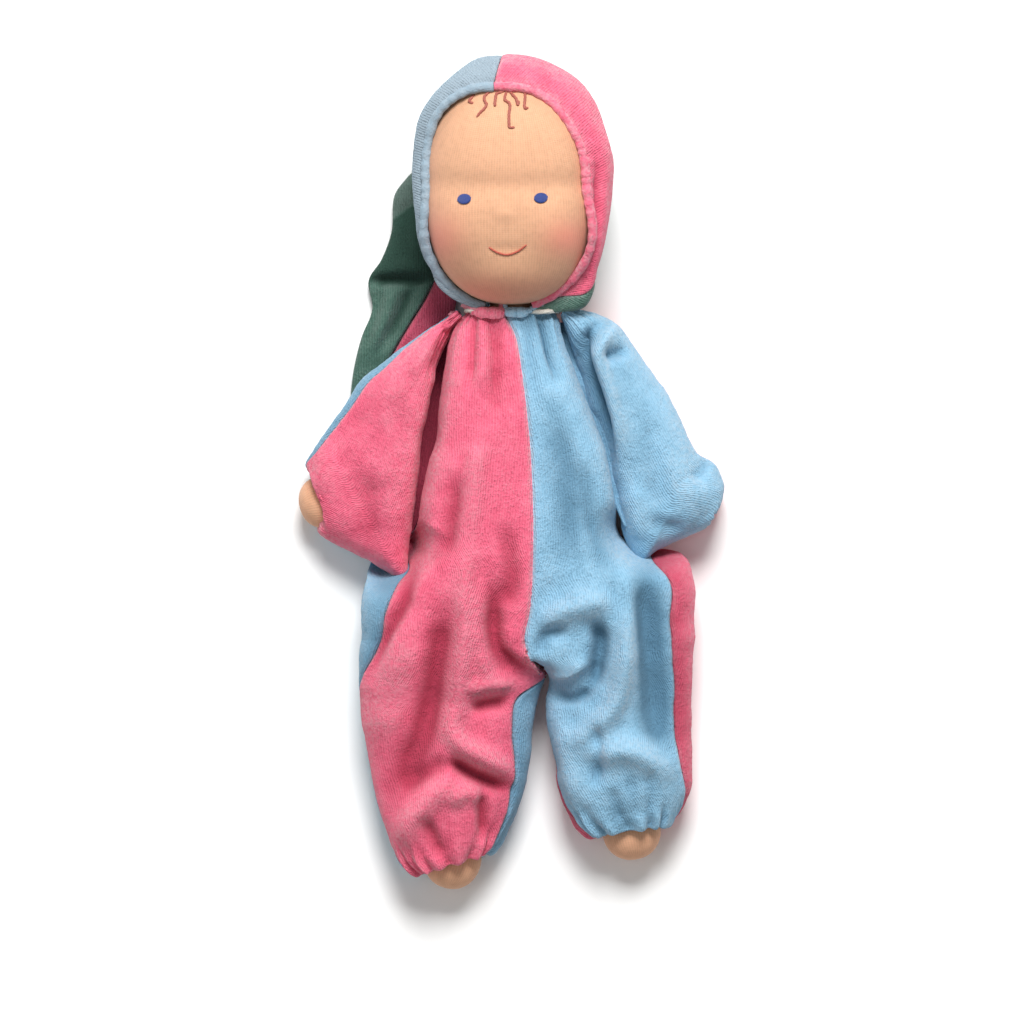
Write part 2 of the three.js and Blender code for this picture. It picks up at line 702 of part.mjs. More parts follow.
const headGroup = new THREE.Group();
headGroup.add(
  named("head_core", "wool_fill", woolCore()),
  named("head_skin", "tricot_skin", skinShell()),
  named("left_eye", "thread_blue", eyePad(features.leftEyeX, features.eyeY)),
  named("right_eye", "thread_blue", eyePad(features.rightEyeX, features.eyeY)),
  named("mouth", "thread_red", stitchedLine(mouthPoints(), features.mouthThreadRadius, 0.5)),
);
for (const [name, shares] of Object.entries(hairShares)) {
  const points = shares.map(([across, down]) => [
    features.hairX + across * features.hairHalfWidth,
    features.hairTopY - down * features.hairLength,
  ]);
  headGroup.add(named(name, "thread_brown", stitchedLine(points, features.hairThreadRadius, 0.6)));
}

// The thread that ties the eye line, under the skin and round the wool.
function eyeLineThread() {
  const outset = -(cloth.tricot + cloth.seatGap + features.eyeLineThreadRadius);
  const path = headRing(Math.PI / 2, facets.headSides, outset);
  return threadSolid(path, path.map(() => features.eyeLineThreadRadius), true, facets.eyeLine);
}

headGroup.add(
  named("eye_line_thread", "cord_ivory", eyeLineThread()),
  named("hood_front_left", "velour_blue", hoodPanel({
    fromAngle: -hoodEnd, toAngle: topSeam - seamTurn, steps: facets.hoodAround,
    endTilt: sideSeam, rows: facets.hoodSide,
  })),
  named("hood_front_right", "velour_pink", hoodPanel({
    fromAngle: topSeam + seamTurn, toAngle: goreStart - seamTurn, steps: facets.hoodAround - 1,
    endTilt: sideSeam, rows: facets.hoodSide,
  })),
  named("hood_gore_right", "velour_green", hoodPanel({
    fromAngle: goreStart + seamTurn, toAngle: hoodEnd, steps: facets.hoodGore,
    endTilt: sideSeam, rows: facets.hoodSide,
  })),
  named("hood_back_left", "velour_green", hoodPanel({
    fromAngle: -hoodEnd, toAngle: -seamTurn, steps: facets.hoodAround,
    startTilt: sideSeam + 2 * seamTurn, endTilt: backPole, rows: facets.hoodBack,
  })),
  named("hood_back_right", "velour_green", hoodPanel({
    fromAngle: seamTurn, toAngle: hoodEnd, steps: facets.hoodAround,
    startTilt: sideSeam + 2 * seamTurn, endTilt: backPole, rows: facets.hoodBack,
  })),
  named("hood_roll_left", "velour_blue", hoodRoll(-hoodEnd, topSeam - seamTurn, facets.hoodRoll)),
  named("hood_roll_right", "velour_pink", hoodRoll(topSeam + seamTurn, hoodEnd, facets.hoodRoll)),
);

// The hood's long tip, folded flat beside the head, in a green and a pink gore that share a seam.
// Rows give the outer edge, the seam and the inner edge: across and down as shares of its reach and length.
const tailShares = [
  [0.36, 0, 0.2, 0, 0.02, 0, 0.3],
  [0.47, 0.05, 0.19, 0.05, 0, 0.05, 0.85],
  [0.6, 0.12, 0.18, 0.14, 0, 0.15, 1],
  [0.62, 0.24, 0.18, 0.27, 0, 0.26, 1],
  [0.74, 0.36, 0.2, 0.4, 0, 0.38, 1],
  [0.88, 0.45, 0.33, 0.5, 0, 0.47, 0.95],
  [0.88, 0.57, 0.49, 0.61, 0.04, 0.56, 1],
  [0.97, 0.68, 0.63, 0.71, 0.15, 0.67, 1],
  [1.04, 0.78, 0.75, 0.81, 0.33, 0.78, 1],
  [1.06, 0.88, 0.84, 0.91, 0.55, 0.88, 0.9],
  [1, 0.97, 0.88, 0.975, 0.77, 0.96, 0.5],
];
function tailGore(outer, inner, shift) {
  const rows = tailShares.map((share) => {
    const place = (i, gap) => [
      tail.startX - share[2 * i] * tail.reachX + gap,
      tail.startY - share[2 * i + 1] * tail.length,
    ];
    return {
      left: place(outer, shift[0]),
      right: place(inner, shift[1]),
      low: tail.lift,
      high: tail.lift + share[6] * tail.height,
      steps: facets.flatQuarter,
    };
  });
  return loftSolid(rows.map((row) => rowRing(row, 0)));
}
const halfSeam = cloth.seamGap / 2;
headGroup.add(
  named("hood_tail_green", "velour_green", tailGore(0, 1, [0, -halfSeam])),
  named("hood_tail_pink", "velour_pink", tailGore(1, 2, [halfSeam, 0])),
);

// A hand or foot: a stuffed tricot bulb, drawn in to a stem where its thread ties it.
function bulbProfile(size) {
  const stem = tie.stemRadius;
  const start = Math.asin(stem / Math.max(size.halfWidth, stem));
  const profile = [];
  for (let k = 0; k <= facets.bulbRows; k += 1) {
    const angle = mix(Math.PI, start, k / facets.bulbRows);
    profile.push([Math.sin(angle), size.halfLength * Math.cos(angle)]);
  }
  profile[0][0] = 0;
  const neckY = profile.at(-1)[1];
  profile.push([stem / size.halfWidth, neckY + tie.stemLength]);
  profile.push([0, neckY + tie.stemLength]);
  return { profile, neckY };
}

function bulbGroup(name, size, threadName) {
  const group = new THREE.Group();
  const { profile, neckY } = bulbProfile(size);
  const bulb = revolve(profile.map(([x, y]) => new THREE.Vector2(x, y)), facets.bulb);
  bulb.scale(size.halfWidth, 1, size.halfDepth);
  const depthShare = size.halfDepth / size.halfWidth;
  const ringX = tie.stemRadius + cloth.seatGap + tie.threadRadius;
  const ringZ = tie.stemRadius * depthShare + cloth.seatGap + tie.threadRadius;
  const threadY = neckY + tie.stemLength - 2 * tie.threadRadius;
  const path = ovalPath({ x: 0, y: threadY, z: 0 }, ringX, ringZ, facets.tie);
  group.add(named(name, "tricot_skin", bulb));
  group.add(named(threadName, "cord_ivory", threadSolid(path, path.map(() => tie.threadRadius), true)));
  group.position.set(size.x, size.y, size.z);
  group.rotation.z = degrees(size.turnDegrees);
  return group;
}

// The stuffing ends above the gathered rows of a sleeve or leg.
const armFillRows = 8;
const legFillRows = 10;

// A sleeve's rows fan out between its outer edge and its inner edge, which follows the torso's side
// down to the underarm and then runs along the cuff side on its own shares.
function sleeveRows(size, side, shares) {
  const direction = side === "left" ? -1 : 1;
  return shares.map(([outX, outY, inX, inY, low, high]) => {
    const innerY = size.y - inY * size.dropY;
    const onTorso = torsoSideX(innerY, side) + direction * sleeveClearance;
    const innerX = inX === null ? onTorso : size.x + direction * inX * size.reachX;
    const outer = [size.x + direction * outX * size.reachX, size.y - outY * size.dropY];
    const inner = [innerX, innerY];
    return {
      left: side === "left" ? outer : inner,
      right: side === "left" ? inner : outer,
      low: low * size.depth,
      high: high * size.depth,
    };
  });
}

const leftSleeveShares = [
  [0.09, 0.015, null, 0.03, 0.61, 1.3],
  [0.14, 0.03, null, 0.1, 0.53, 1.32],
  [0.23, 0.07, null, 0.22, 0.4, 1.34],
  [0.4, 0.14, null, 0.4, 0.32, 1.34],
  [0.58, 0.22, null, 0.6, 0.3, 1.3],
  [0.7, 0.31, null, 0.78, 0.29, 1.22],
  [0.785, 0.38, null, 0.89, 0.29, 1.18],
  [0.87, 0.44, 0.34, 0.965, 0.13, 1.14],
  [0.945, 0.51, 0.475, 0.935, 0.06, 1.07],
  [0.975, 0.535, 0.665, 0.87, 0.02, 1],
  [0.995, 0.57, 0.9, 0.795, 0.01, 0.92],
];
const rightSleeveShares = [
  [0.09, 0.01, null, 0.03, 0.61, 1.3],
  [0.14, 0.02, null, 0.09, 0.46, 1.34],
  [0.22, 0.03, null, 0.19, 0.32, 1.36],
  [0.33, 0.04, null, 0.33, 0.18, 1.33],
  [0.44, 0.13, null, 0.46, 0.07, 1.29],
  [0.545, 0.23, null, 0.6, 0.02, 1.25],
  [0.66, 0.34, null, 0.74, 0.02, 1.21],
  [0.76, 0.465, null, 0.87, 0.02, 1.18],
  [0.872, 0.557, 0.475, 0.975, 0.02, 1.14],
  [0.96, 0.612, 0.61, 0.93, 0.02, 1.07],
  [1, 0.677, 0.78, 0.885, 0.04, 1],
  [0.98, 0.745, 0.89, 0.845, 0.14, 0.86],
];

function armGroup(side, rows, hand, slots) {
  const group = new THREE.Group();
  group.add(
    named(`${side}_sleeve_front`, slots.front, clothPanel(rows, 0, 1)),
    named(`${side}_sleeve_back`, slots.back, clothPanel(rows, 2, 3)),
    named(`${side}_arm_stuffing`, "wool_fill", stuffing(rows.slice(0, armFillRows))),
    bulbGroup(`${side}_hand`, hand, `${side}_wrist_thread`),
  );
  return group;
}

const leftSleeveRows = sleeveRows(leftSleeve, "left", leftSleeveShares);
const rightSleeveRows = sleeveRows(rightSleeve, "right", rightSleeveShares);
const pinkFront = { front: "velour_pink", back: "velour_blue" };
const blueFront = { front: "velour_blue", back: "velour_pink" };
const leftArm = armGroup("left", leftSleeveRows, leftHand, pinkFront);
const rightArm = armGroup("right", rightSleeveRows, rightHand, blueFront);

// The bundle of gathered cloth between the neck and the head of each sleeve: a pleated upright roll.
function shoulderBundle(side, row, slot) {
  const direction = side === "left" ? -1 : 1;
  const [inner, outer] = side === "left" ? [row.right, row.left] : [row.left, row.right];
  const solid = new SolidBuilder();
  const sides = 2 * shoulder.pleats;
  const bands = facets.gatherBands;
  const ring = (band) => {
    const tilt = (Math.PI * band) / bands;
    return Array.from({ length: sides }, (_, k) => {
      const angle = (2 * Math.PI * k) / sides;
      const reach = shoulder.radius * Math.sin(tilt) * (k % 2 ? 1 - shoulder.pleatShare : 1);
      const height = -shoulder.halfHeight * Math.cos(tilt);
      return new THREE.Vector3(reach * Math.cos(angle), reach * Math.sin(angle), height);
    });
  };
  for (let band = 1; band + 1 < bands; band += 1) solid.strip(ring(band), ring(band + 1), true);
  solid.fan(ring(1), new THREE.Vector3(0, 0, -shoulder.halfHeight), true);
  solid.fan(ring(bands - 1), new THREE.Vector3(0, 0, shoulder.halfHeight), false);
  const mesh = named(`${side}_shoulder_gather`, slot, solid.geometry());
  const away = new THREE.Vector2(inner[1] - outer[1], outer[0] - inner[0]);
  away.multiplyScalar(direction).normalize();
  const reach = shoulder.radius + cloth.seatGap - shoulder.sink;
  const x = (inner[0] + outer[0]) / 2 + away.x * reach;
  mesh.position.set(x, (inner[1] + outer[1]) / 2 + away.y * reach, shoulder.z);
  return mesh;
}
const leftShoulder = shoulderBundle("left", leftSleeveRows[0], "velour_pink");
const rightShoulder = shoulderBundle("right", rightSleeveRows[0], "velour_blue");

// A leg's rows, from the hip to the ankle: side points across and along as shares of half width and length.
function legRows(size, shares) {
  const startY = hip.y - hip.gap;
  return shares.map(([leftX, leftY, rightX, rightY, low, high, pleat]) => ({
    left: [size.midX + leftX * size.halfWidth, startY - leftY * size.length],
    right: [size.midX + rightX * size.halfWidth, startY - rightY * size.length],
    low: low * size.depth,
    high: high * size.depth,
    pleat: pleat * torso.pleatDepth,
    flatness: legFlatness,
    folded: true,
  }));
}

const leftLegShares = [
  [-1, 0, 1, 0, -0.03, 1.1, 0],
  [-0.985, 0.09, 0.97, 0.09, -0.03, 1.07, 0],
  [-0.978, 0.17, 0.945, 0.17, -0.03, 1.04, 0],
  [-0.965, 0.25, 0.92, 0.25, -0.03, 1.01, 0],
  [-0.956, 0.33, 0.901, 0.33, -0.03, 0.99, 0],
  [-0.935, 0.41, 0.9, 0.41, -0.03, 0.975, 0],
  [-0.901, 0.49, 0.89, 0.49, -0.03, 0.96, 0],
  [-0.87, 0.56, 0.86, 0.555, -0.03, 0.95, 0],
  [-0.835, 0.635, 0.813, 0.625, -0.02, 0.93, 0.2],
  [-0.736, 0.77, 0.681, 0.756, -0.01, 0.88, 0.5],
  [-0.615, 0.887, 0.549, 0.85, 0, 0.82, 0.9],
  [-0.46, 0.965, 0.46, 0.885, 0.01, 0.75, 0.6],
  [-0.33, 1.005, 0.42, 0.915, 0.01, 0.7, 0],
];
const rightLegShares = [
  [-1, 0, 1, 0, -0.03, 1.1, 0],
  [-0.985, 0.09, 0.985, 0.09, -0.03, 1.07, 0],
  [-0.974, 0.17, 0.974, 0.17, -0.03, 1.04, 0],
  [-0.974, 0.24, 0.974, 0.24, -0.03, 1.01, 0],
  [-0.974, 0.32, 0.974, 0.32, -0.03, 0.99, 0],
  [-0.955, 0.39, 0.974, 0.39, -0.03, 0.975, 0],
  [-0.934, 0.458, 0.974, 0.458, -0.03, 0.96, 0],
  [-0.89, 0.53, 0.968, 0.53, -0.03, 0.95, 0],
  [-0.841, 0.6, 0.96, 0.6, -0.02, 0.93, 0.2],
  [-0.762, 0.763, 0.907, 0.74, -0.01, 0.88, 0.5],
  [-0.616, 0.898, 0.828, 0.83, 0, 0.82, 0.9],
  [-0.457, 0.966, 0.75, 0.895, 0.01, 0.75, 0.6],
  [-0.32, 1.01, 0.66, 0.94, 0.01, 0.7, 0],
];

function legGroup(side, rows, foot, slots) {
  const group = new THREE.Group();
  const cuff = rows.at(-1);
  const turn = degrees(foot.turnDegrees);
  const centreX = (cuff.left[0] + cuff.right[0]) / 2 - foot.seat * Math.sin(turn);
  const centreY = (cuff.left[1] + cuff.right[1]) / 2 + foot.seat * Math.cos(turn);
  const bulb = { ...foot, x: centreX, y: centreY, z: (cuff.low + cuff.high) / 2 };
  group.add(
    named(`${side}_leg_front`, slots.front, clothPanel(rows, 0, 1)),
    named(`${side}_leg_back`, slots.back, clothPanel(rows, 2, 3)),
    named(`${side}_leg_stuffing`, "wool_fill", stuffing(rows.slice(0, legFillRows))),
    bulbGroup(`${side}_foot`, bulb, `${side}_ankle_thread`),
  );
  return group;
}

const leftLegGroup = legGroup("left", legRows(leftLeg, leftLegShares), leftFoot, pinkFront);
const rightLegGroup = legGroup("right", legRows(rightLeg, rightLegShares), rightFoot, blueFront);

// The origin lies under the middle of the whole doll, on the surface that it lies on.
const doll = new THREE.Group();
const body = new THREE.Group();
body.add(torsoGroup, neckGroup, headGroup, leftArm, rightArm, leftShoulder, rightShoulder);
body.add(leftLegGroup, rightLegGroup);
doll.add(body);
doll.updateMatrixWorld(true);
const extent = new THREE.Box3().setFromObject(doll, true);
body.position.set(-(extent.min.x + extent.max.x) / 2, -(extent.min.y + extent.max.y) / 2, -extent.min.z);

export default doll;
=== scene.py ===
import math
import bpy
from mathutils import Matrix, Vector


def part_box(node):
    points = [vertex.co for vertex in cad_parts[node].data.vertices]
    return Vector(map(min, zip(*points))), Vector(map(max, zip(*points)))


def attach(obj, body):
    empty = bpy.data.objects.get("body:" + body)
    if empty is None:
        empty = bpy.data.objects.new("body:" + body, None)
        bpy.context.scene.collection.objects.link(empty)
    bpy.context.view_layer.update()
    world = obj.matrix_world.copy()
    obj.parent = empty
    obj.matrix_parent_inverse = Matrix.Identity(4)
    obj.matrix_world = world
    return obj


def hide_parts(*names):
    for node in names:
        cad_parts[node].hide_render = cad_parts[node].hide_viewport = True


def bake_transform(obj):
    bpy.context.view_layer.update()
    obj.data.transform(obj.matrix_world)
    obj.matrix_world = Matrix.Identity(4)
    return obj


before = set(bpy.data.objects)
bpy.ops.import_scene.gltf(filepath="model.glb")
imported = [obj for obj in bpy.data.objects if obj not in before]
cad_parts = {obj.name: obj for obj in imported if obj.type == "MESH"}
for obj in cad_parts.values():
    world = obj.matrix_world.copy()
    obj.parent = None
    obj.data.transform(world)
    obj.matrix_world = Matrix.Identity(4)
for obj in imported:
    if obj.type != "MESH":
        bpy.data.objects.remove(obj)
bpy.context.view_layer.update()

from types import SimpleNamespace

import bpy
import numpy as np
from bpy.props import FloatProperty, FloatVectorProperty, PointerProperty

bl_info = {
    "name": "Velour Baby Doll",
    "version": (1, 0, 0),
    "blender": (4, 5, 0),
    "location": "View3D > Sidebar > Doll",
    "description": "Builds a soft cloth baby doll in a hooded velour suit around its packed frame",
    "category": "Add Mesh",
}

MM = 0.001
ROUNDNESS = 2.2  # exponent of the stuffed sections: 2 is an ellipse, more is squarer
SEED = 7
LOBE_DEPTH = 0.17  # share of a thread's radius by which its strands bulge
NOISE_TABLE = (61, 67)  # two primes, so that the repeats of the noise don't line up
INNER_LOWEST = 0.2 * MM  # the inner face of a cloth stays above the floor


# Colours

def linear(hex_colour):
    """An sRGB hex colour as linear red, green and blue."""
    values = [int(hex_colour[i:i + 2], 16) / 255 for i in (1, 3, 5)]
    return [v / 12.92 if v <= 0.04045 else ((v + 0.055) / 1.055) ** 2.4 for v in values]


def colour_property(name, hex_colour, description):
    return FloatVectorProperty(name=name, description=description, subtype="COLOR", size=3,
                               min=0, max=1, default=linear(hex_colour))


class DollColours(bpy.types.PropertyGroup):
    """The colours of the doll's cloths and threads."""
    pink: colour_property("Pink velour", "#EE6C88", "Colour of the pink velour's pile")
    blue: colour_property("Blue velour", "#90BEDA", "Colour of the light blue velour's pile")
    green: colour_property("Green velour", "#5C7C70", "Colour of the grey-green velour's pile")
    skin: colour_property("Skin tricot", "#D2A180", "Colour of the flesh-coloured tricot")
    blush: colour_property("Blush", "#EA8F7C", "Colour rubbed into the cheeks")
    wool: colour_property("Wool", "#D8C8A8", "Colour of the wool inside")
    eye_thread: colour_property("Eye thread", "#263C80", "Colour of the embroidered eyes")
    mouth_thread: colour_property("Mouth thread", "#B4503F", "Colour of the embroidered mouth")
    hair_thread: colour_property("Hair thread", "#A4584A", "Colour of the embroidered hair")
    cord: colour_property("Cord", "#E6E2D6", "Colour of the tying cord and threads")
    floor: colour_property("Floor", "#FAFAF9", "Colour of the floor")


def size_property(name, millimetres, description):
    return FloatProperty(name=name, description=description, default=millimetres * MM, min=0,
                         subtype="DISTANCE", unit="LENGTH", precision=4)


class DollSizes(bpy.types.PropertyGroup):
    """The sizes of the doll's cloth and threads."""
    velour: size_property("Velour", 1.8, "Thickness of the velour")
    tricot: size_property("Tricot", 1.0, "Thickness of the tricot")
    wale: size_property("Velour wale", 1.15, "Distance between two ribs of the velour")
    stitch_wale: size_property("Tricot wale", 1.3, "Distance between two wales of the tricot")
    seam_dip: size_property("Seam dip", 1.5, "How far a seam draws the cloth in")
    thread: size_property("Embroidery thread", 0.5, "Radius of the embroidery thread")
    cord: size_property("Neck cord", 1.0, "Radius of the neck cord")


# Curves and surfaces as numpy arrays

def spline(points, count):
    """Points on a smooth curve through the given ones: cubic blends of four neighbours (Catmull-Rom)."""
    given = np.asarray(points, float)
    padded = np.vstack([2 * given[0] - given[1], given, 2 * given[-1] - given[-2]])
    place = np.linspace(0, len(given) - 1, count)
    first = np.minimum(place.astype(int), len(given) - 2)
    t = (place - first)[:, None]
    a, b, c, d = (padded[first + k] for k in range(4))
    return b + t / 2 * ((c - a) + t * (2 * a - 5 * b + 4 * c - d + t * (3 * (b - c) + d - a)))


def signed_power(value, exponent):
    return np.sign(value) * np.abs(value) ** exponent


def mix(low, high, share):
    return low + (high - low) * share


def ease(value):
    """A step from 0 to 1 with soft ends: three squares less two cubes."""
    t = np.clip(value, 0, 1)
    return t * t * (3 - 2 * t)


def bell(value, width):
    """A bell of height 1: e to the power of minus the square of the value over the width."""
    return np.exp(-((value / width) ** 2))


def plan_bell(x, y, middle_x, middle_y, width, height):
    """The same bell round a place in plan, which is given in millimetres."""
    return np.exp(-(((x / MM - middle_x) / width) ** 2) - ((y / MM - middle_y) / height) ** 2)


def noise(x, y, size, seed):
    """Soft random heights from -1 to 1: random values at the corners of squares of that size, eased
    between."""
    table = np.random.default_rng(SEED + seed).uniform(-1, 1, NOISE_TABLE)
    column, row = np.floor(x / size).astype(int), np.floor(y / size).astype(int)
    across, up = ease(x / size - column), ease(y / size - row)

    def corner(i, j):
        return table[(column + i) % NOISE_TABLE[0], (row + j) % NOISE_TABLE[1]]

    return mix(mix(corner(0, 0), corner(1, 0), across), mix(corner(0, 1), corner(1, 1), across), up)


def crumpled(lift, x, y, seed, *layers):
    """The lift with layers of noise added, each given as its height and the size of its lumps in
    millimetres."""
    for k, (height, size) in enumerate(layers):
        lift = lift + height * MM * noise(x, y, size * MM, seed + k)
    return lift


def fold_height(x, y, folds):
    """The sum of the folds at points in plan, in metres. A fold is (points, width, height) in
    millimetres: its height times a bell of the distance from the smooth line through its points, faded at
    both ends."""
    total = np.zeros(x.shape)
    for points, width, height in folds:
        line = spline(np.array(points) * MM, 7 * len(points))
        nearest, along = np.full(x.shape, np.inf), np.zeros(x.shape)
        for k, (a, b) in enumerate(zip(line[:-1], line[1:])):
            d = b - a
            t = np.clip(((x - a[0]) * d[0] + (y - a[1]) * d[1]) / (d @ d), 0, 1)
            distance = np.hypot(x - a[0] - t * d[0], y - a[1] - t * d[1])
            along = np.where(distance < nearest, (k + t) / (len(line) - 1), along)
            nearest = np.minimum(distance, nearest)
        fade = ease(np.minimum(along, 1 - along) / 0.34 + 0.1)
        total += height * MM * fade * bell(nearest, width * MM)
    return total


def grid_normals(points, inside):
    """Unit normals of a grid: the cross product of its two directions, turned away from the inside."""
    normal = np.cross(np.gradient(points, axis=1), np.gradient(points, axis=0))
    normal /= np.linalg.norm(normal, axis=2, keepdims=True) + 1e-12
    return normal if np.sum(normal * (points - inside)) > 0 else -normal


def arc_lengths(points, axis):
    """Distance run along the grid in one direction."""
    steps = np.linalg.norm(np.diff(points, axis=axis), axis=2)
    pad = [(0, 0), (0, 0)]
    pad[axis] = (1, 0)
    return np.cumsum(np.pad(steps, pad), axis=axis)


# Meshes

def grid_faces(rows, columns, start=0, wrap=False, loop=False):
    """Corner numbers of the squares of a grid of points. The grid closes on itself across where wrap is
    true, and lengthwise where loop is true."""
    number = np.arange(rows * columns).reshape(rows, columns) + start
    if loop:
        number = np.vstack([number, number[:1]])
    if wrap:
        number = np.hstack([number, number[:, :1]])
    corners = [number[:-1, :-1], number[:-1, 1:], number[1:, 1:], number[1:, :-1]]
    return np.stack(corners, axis=-1).reshape(-1, 4)


def add_piece(name, points, faces, material, uv=None, values=None):
    """A mesh object of those points and faces, turned outwards, with its map and its named point values."""
    points, faces = np.asarray(points, float), [list(map(int, f)) for f in faces]
    volume = 0.0
    for size in (3, 4):
        group = np.array([f for f in faces if len(f) == size])
        if len(group):
            for k in range(1, size - 1):
                a, b, c = points[group[:, 0]], points[group[:, k]], points[group[:, k + 1]]
                volume += np.sum(a * np.cross(b, c))
    if volume < 0:
        faces = [f[::-1] for f in faces]
    mesh = bpy.data.meshes.new(name)
    mesh.from_pydata(points.tolist(), [], faces)
    if uv is not None:
        layer = mesh.uv_layers.new(name="cloth")
        corner = np.zeros(len(mesh.loops), np.int32)
        mesh.loops.foreach_get("vertex_index", corner)
        layer.data.foreach_set("uv", np.asarray(uv, np.float32)[corner].ravel())
    for key, value in (values or {}).items():
        mesh.attributes.new(key, "FLOAT", "POINT").data.foreach_set("value", np.asarray(value, np.float32))
    mesh.polygons.foreach_set("use_smooth", np.ones(len(mesh.polygons), bool))
    mesh.validate()
    mesh.update()
    piece = bpy.data.objects.new(name, mesh)
    bpy.context.scene.collection.objects.link(piece)
    mesh.materials.append(material)
    return piece


def cloth_piece(name, outer, thickness, inside, material, values=None):
    """A cloth with an outer and an inner face: the grid, and the same grid moved inwards by the
    thickness, joined round the rim. Its map gives the distance along the cloth in both directions, in
    metres."""
    rows, columns, _ = outer.shape
    normal = grid_normals(outer, inside)
    inner = outer - normal * thickness
    inner[..., 2] = np.maximum(inner[..., 2], INNER_LOWEST)
    count = rows * columns
    faces = [grid_faces(rows, columns), grid_faces(rows, columns, count)[:, ::-1]]
    number = np.arange(count).reshape(rows, columns)
    rim = np.concatenate([number[0, :], number[1:, -1], number[-1, -2::-1], number[-2:0:-1, 0]])
    following = np.roll(rim, -1)
    faces.append(np.stack([following, rim, rim + count, following + count], axis=-1))
    across = arc_lengths(outer, 1)
    across -= across[:, columns // 2:columns // 2 + 1]
    along = np.broadcast_to(arc_lengths(outer, 0).mean(axis=1, keepdims=True), across.shape)
    uv = np.tile(np.stack([across, along], axis=-1).reshape(-1, 2), (2, 1))
    both = {key: np.tile(value.ravel(), 2) for key, value in (values or {}).items()}
    points = np.concatenate([outer.reshape(-1, 3), inner.reshape(-1, 3)])
    return add_piece(name, points, np.concatenate(faces), material, uv, both)


def fan(middle, ring):
    """Triangles from a middle point to the sides of a ring of corner numbers, against its direction."""
    return [[int(middle), int(b), int(a)] for a, b in zip(ring, np.roll(ring, -1))]


def closed_mesh(rings):
    """Points and faces of a solid through closed rings, with a point in the middle of each end."""
    rows, columns, _ = rings.shape
    points = np.concatenate([rings.reshape(-1, 3), [rings[0].mean(axis=0), rings[-1].mean(axis=0)]])
    faces = grid_faces(rows, columns, wrap=True).tolist()
    ring, last = np.arange(columns), (rows - 1) * columns
    faces += fan(rows * columns, ring)
    faces += [[middle, a, b] for middle, b, a in fan(rows * columns + 1, ring + last)]
    return points, faces


def with_ends(*grids):
    """The values of one or more grids side by side, with zeros for the middle points of both ends."""
    return np.stack([np.append(grid.ravel(), [0, 0]) for grid in grids], axis=-1)


def tube_rings(path, radius, sides=10, lobes=0, pitch=1.0, closed=False):
    """Rings round a path. A twisted thread has lobes: its radius rises and falls round it, by a cosine
    that turns once in a pitch."""
    if closed:
        along = np.roll(path, -1, axis=0) - np.roll(path, 1, axis=0)
    else:
        along = np.gradient(path, axis=0)
    along /= np.linalg.norm(along, axis=1, keepdims=True)
    up = np.where(np.abs(along[:, 2:]) > 0.9, [[1.0, 0, 0]], [[0, 0, 1.0]])
    across = np.cross(along, up)
    across /= np.linalg.norm(across, axis=1, keepdims=True)
    up = np.cross(across, along)
    angle = np.linspace(0, 2 * math.pi, sides, endpoint=False)[None, :]
    run = np.concatenate([[0], np.cumsum(np.linalg.norm(np.diff(path, axis=0), axis=1))])[:, None]
    reach = np.broadcast_to(np.asarray(radius, float).reshape(-1, 1), (len(path), 1))
    reach = reach * (1 + (LOBE_DEPTH * np.cos(lobes * angle - 2 * math.pi * run / pitch) if lobes else 0))
    reach = np.broadcast_to(reach, (len(path), sides))
    return (path[:, None] + across[:, None] * (reach * np.cos(angle))[..., None]
            + up[:, None] * (reach * np.sin(angle))[..., None])


def thread_loop(name, path, radius, sides, lobes, pitch, material):
    """A closed loop of twisted thread along a path."""
    rings = tube_rings(path, radius, sides, lobes, pitch, closed=True)
    faces = grid_faces(len(path), sides, wrap=True, loop=True)
    return add_piece(name, rings.reshape(-1, 3), faces, material)


def join_meshes(meshes):
    """Several meshes as one set of points and faces."""
    points, faces, start = [], [], 0
    for p, f in meshes:
        points.append(p)
        faces += [[int(i) + start for i in face] for face in f]
        start += len(p)
    return np.concatenate(points), faces


def points_of(mesh):
    """The points of a mesh as an array."""
    points = np.zeros(len(mesh.vertices) * 3)
    mesh.vertices.foreach_get("co", points)
    return points.reshape(-1, 3)


def dressed(piece, body, slot, *nodes):
    """The piece rides on that body and stands for those nodes. The slot is not used."""
    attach(piece, body)
    if nodes:
        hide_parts(*nodes)
    return piece


# Materials

def add_node(tree, kind, inputs=None, **settings):
    """A node of that kind with its settings. Its inputs, by name or number, are linked to sockets or
    set."""
    node = tree.nodes.new(kind)
    for key, value in settings.items():
        if key in node.inputs:
            node.inputs[key].default_value = value
        else:
            setattr(node, key, value)
    for key, source in (inputs or {}).items():
        if isinstance(source, bpy.types.NodeSocket):
            tree.links.new(source, node.inputs[key])
        else:
            node.inputs[key].default_value = source
    return node


def new_material(name, roughness, **shader_values):
    material = bpy.data.materials.new(name)
    material.use_nodes = True
    tree = material.node_tree
    shader = tree.nodes["Principled BSDF"]
    shader.inputs["Roughness"].default_value = roughness
    for key, value in shader_values.items():
        shader.inputs[key.replace("_", " ")].default_value = value
    return material, tree, shader


def rgba(colour, factor=1.0):
    return [min(1.0, c * factor) for c in colour] + [1.0]


def grey(value):
    return value, value, value, 1


def ramp(tree, source, stops):
    node = add_node(tree, "ShaderNodeValToRGB", {"Fac": source})
    while len(node.color_ramp.elements) < len(stops):
        node.color_ramp.elements.new(0.5)
    for element, (place, colour) in zip(node.color_ramp.elements, stops):
        element.position, element.color = place, colour
    return node.outputs["Color"]


def coordinates(tree):
    """Where a point of the surface lies on its object, and on the map of its cloth in metres."""
    place = add_node(tree, "ShaderNodeTexCoord").outputs["Object"]
    return place, add_node(tree, "ShaderNodeUVMap", uv_map="cloth").outputs["UV"]


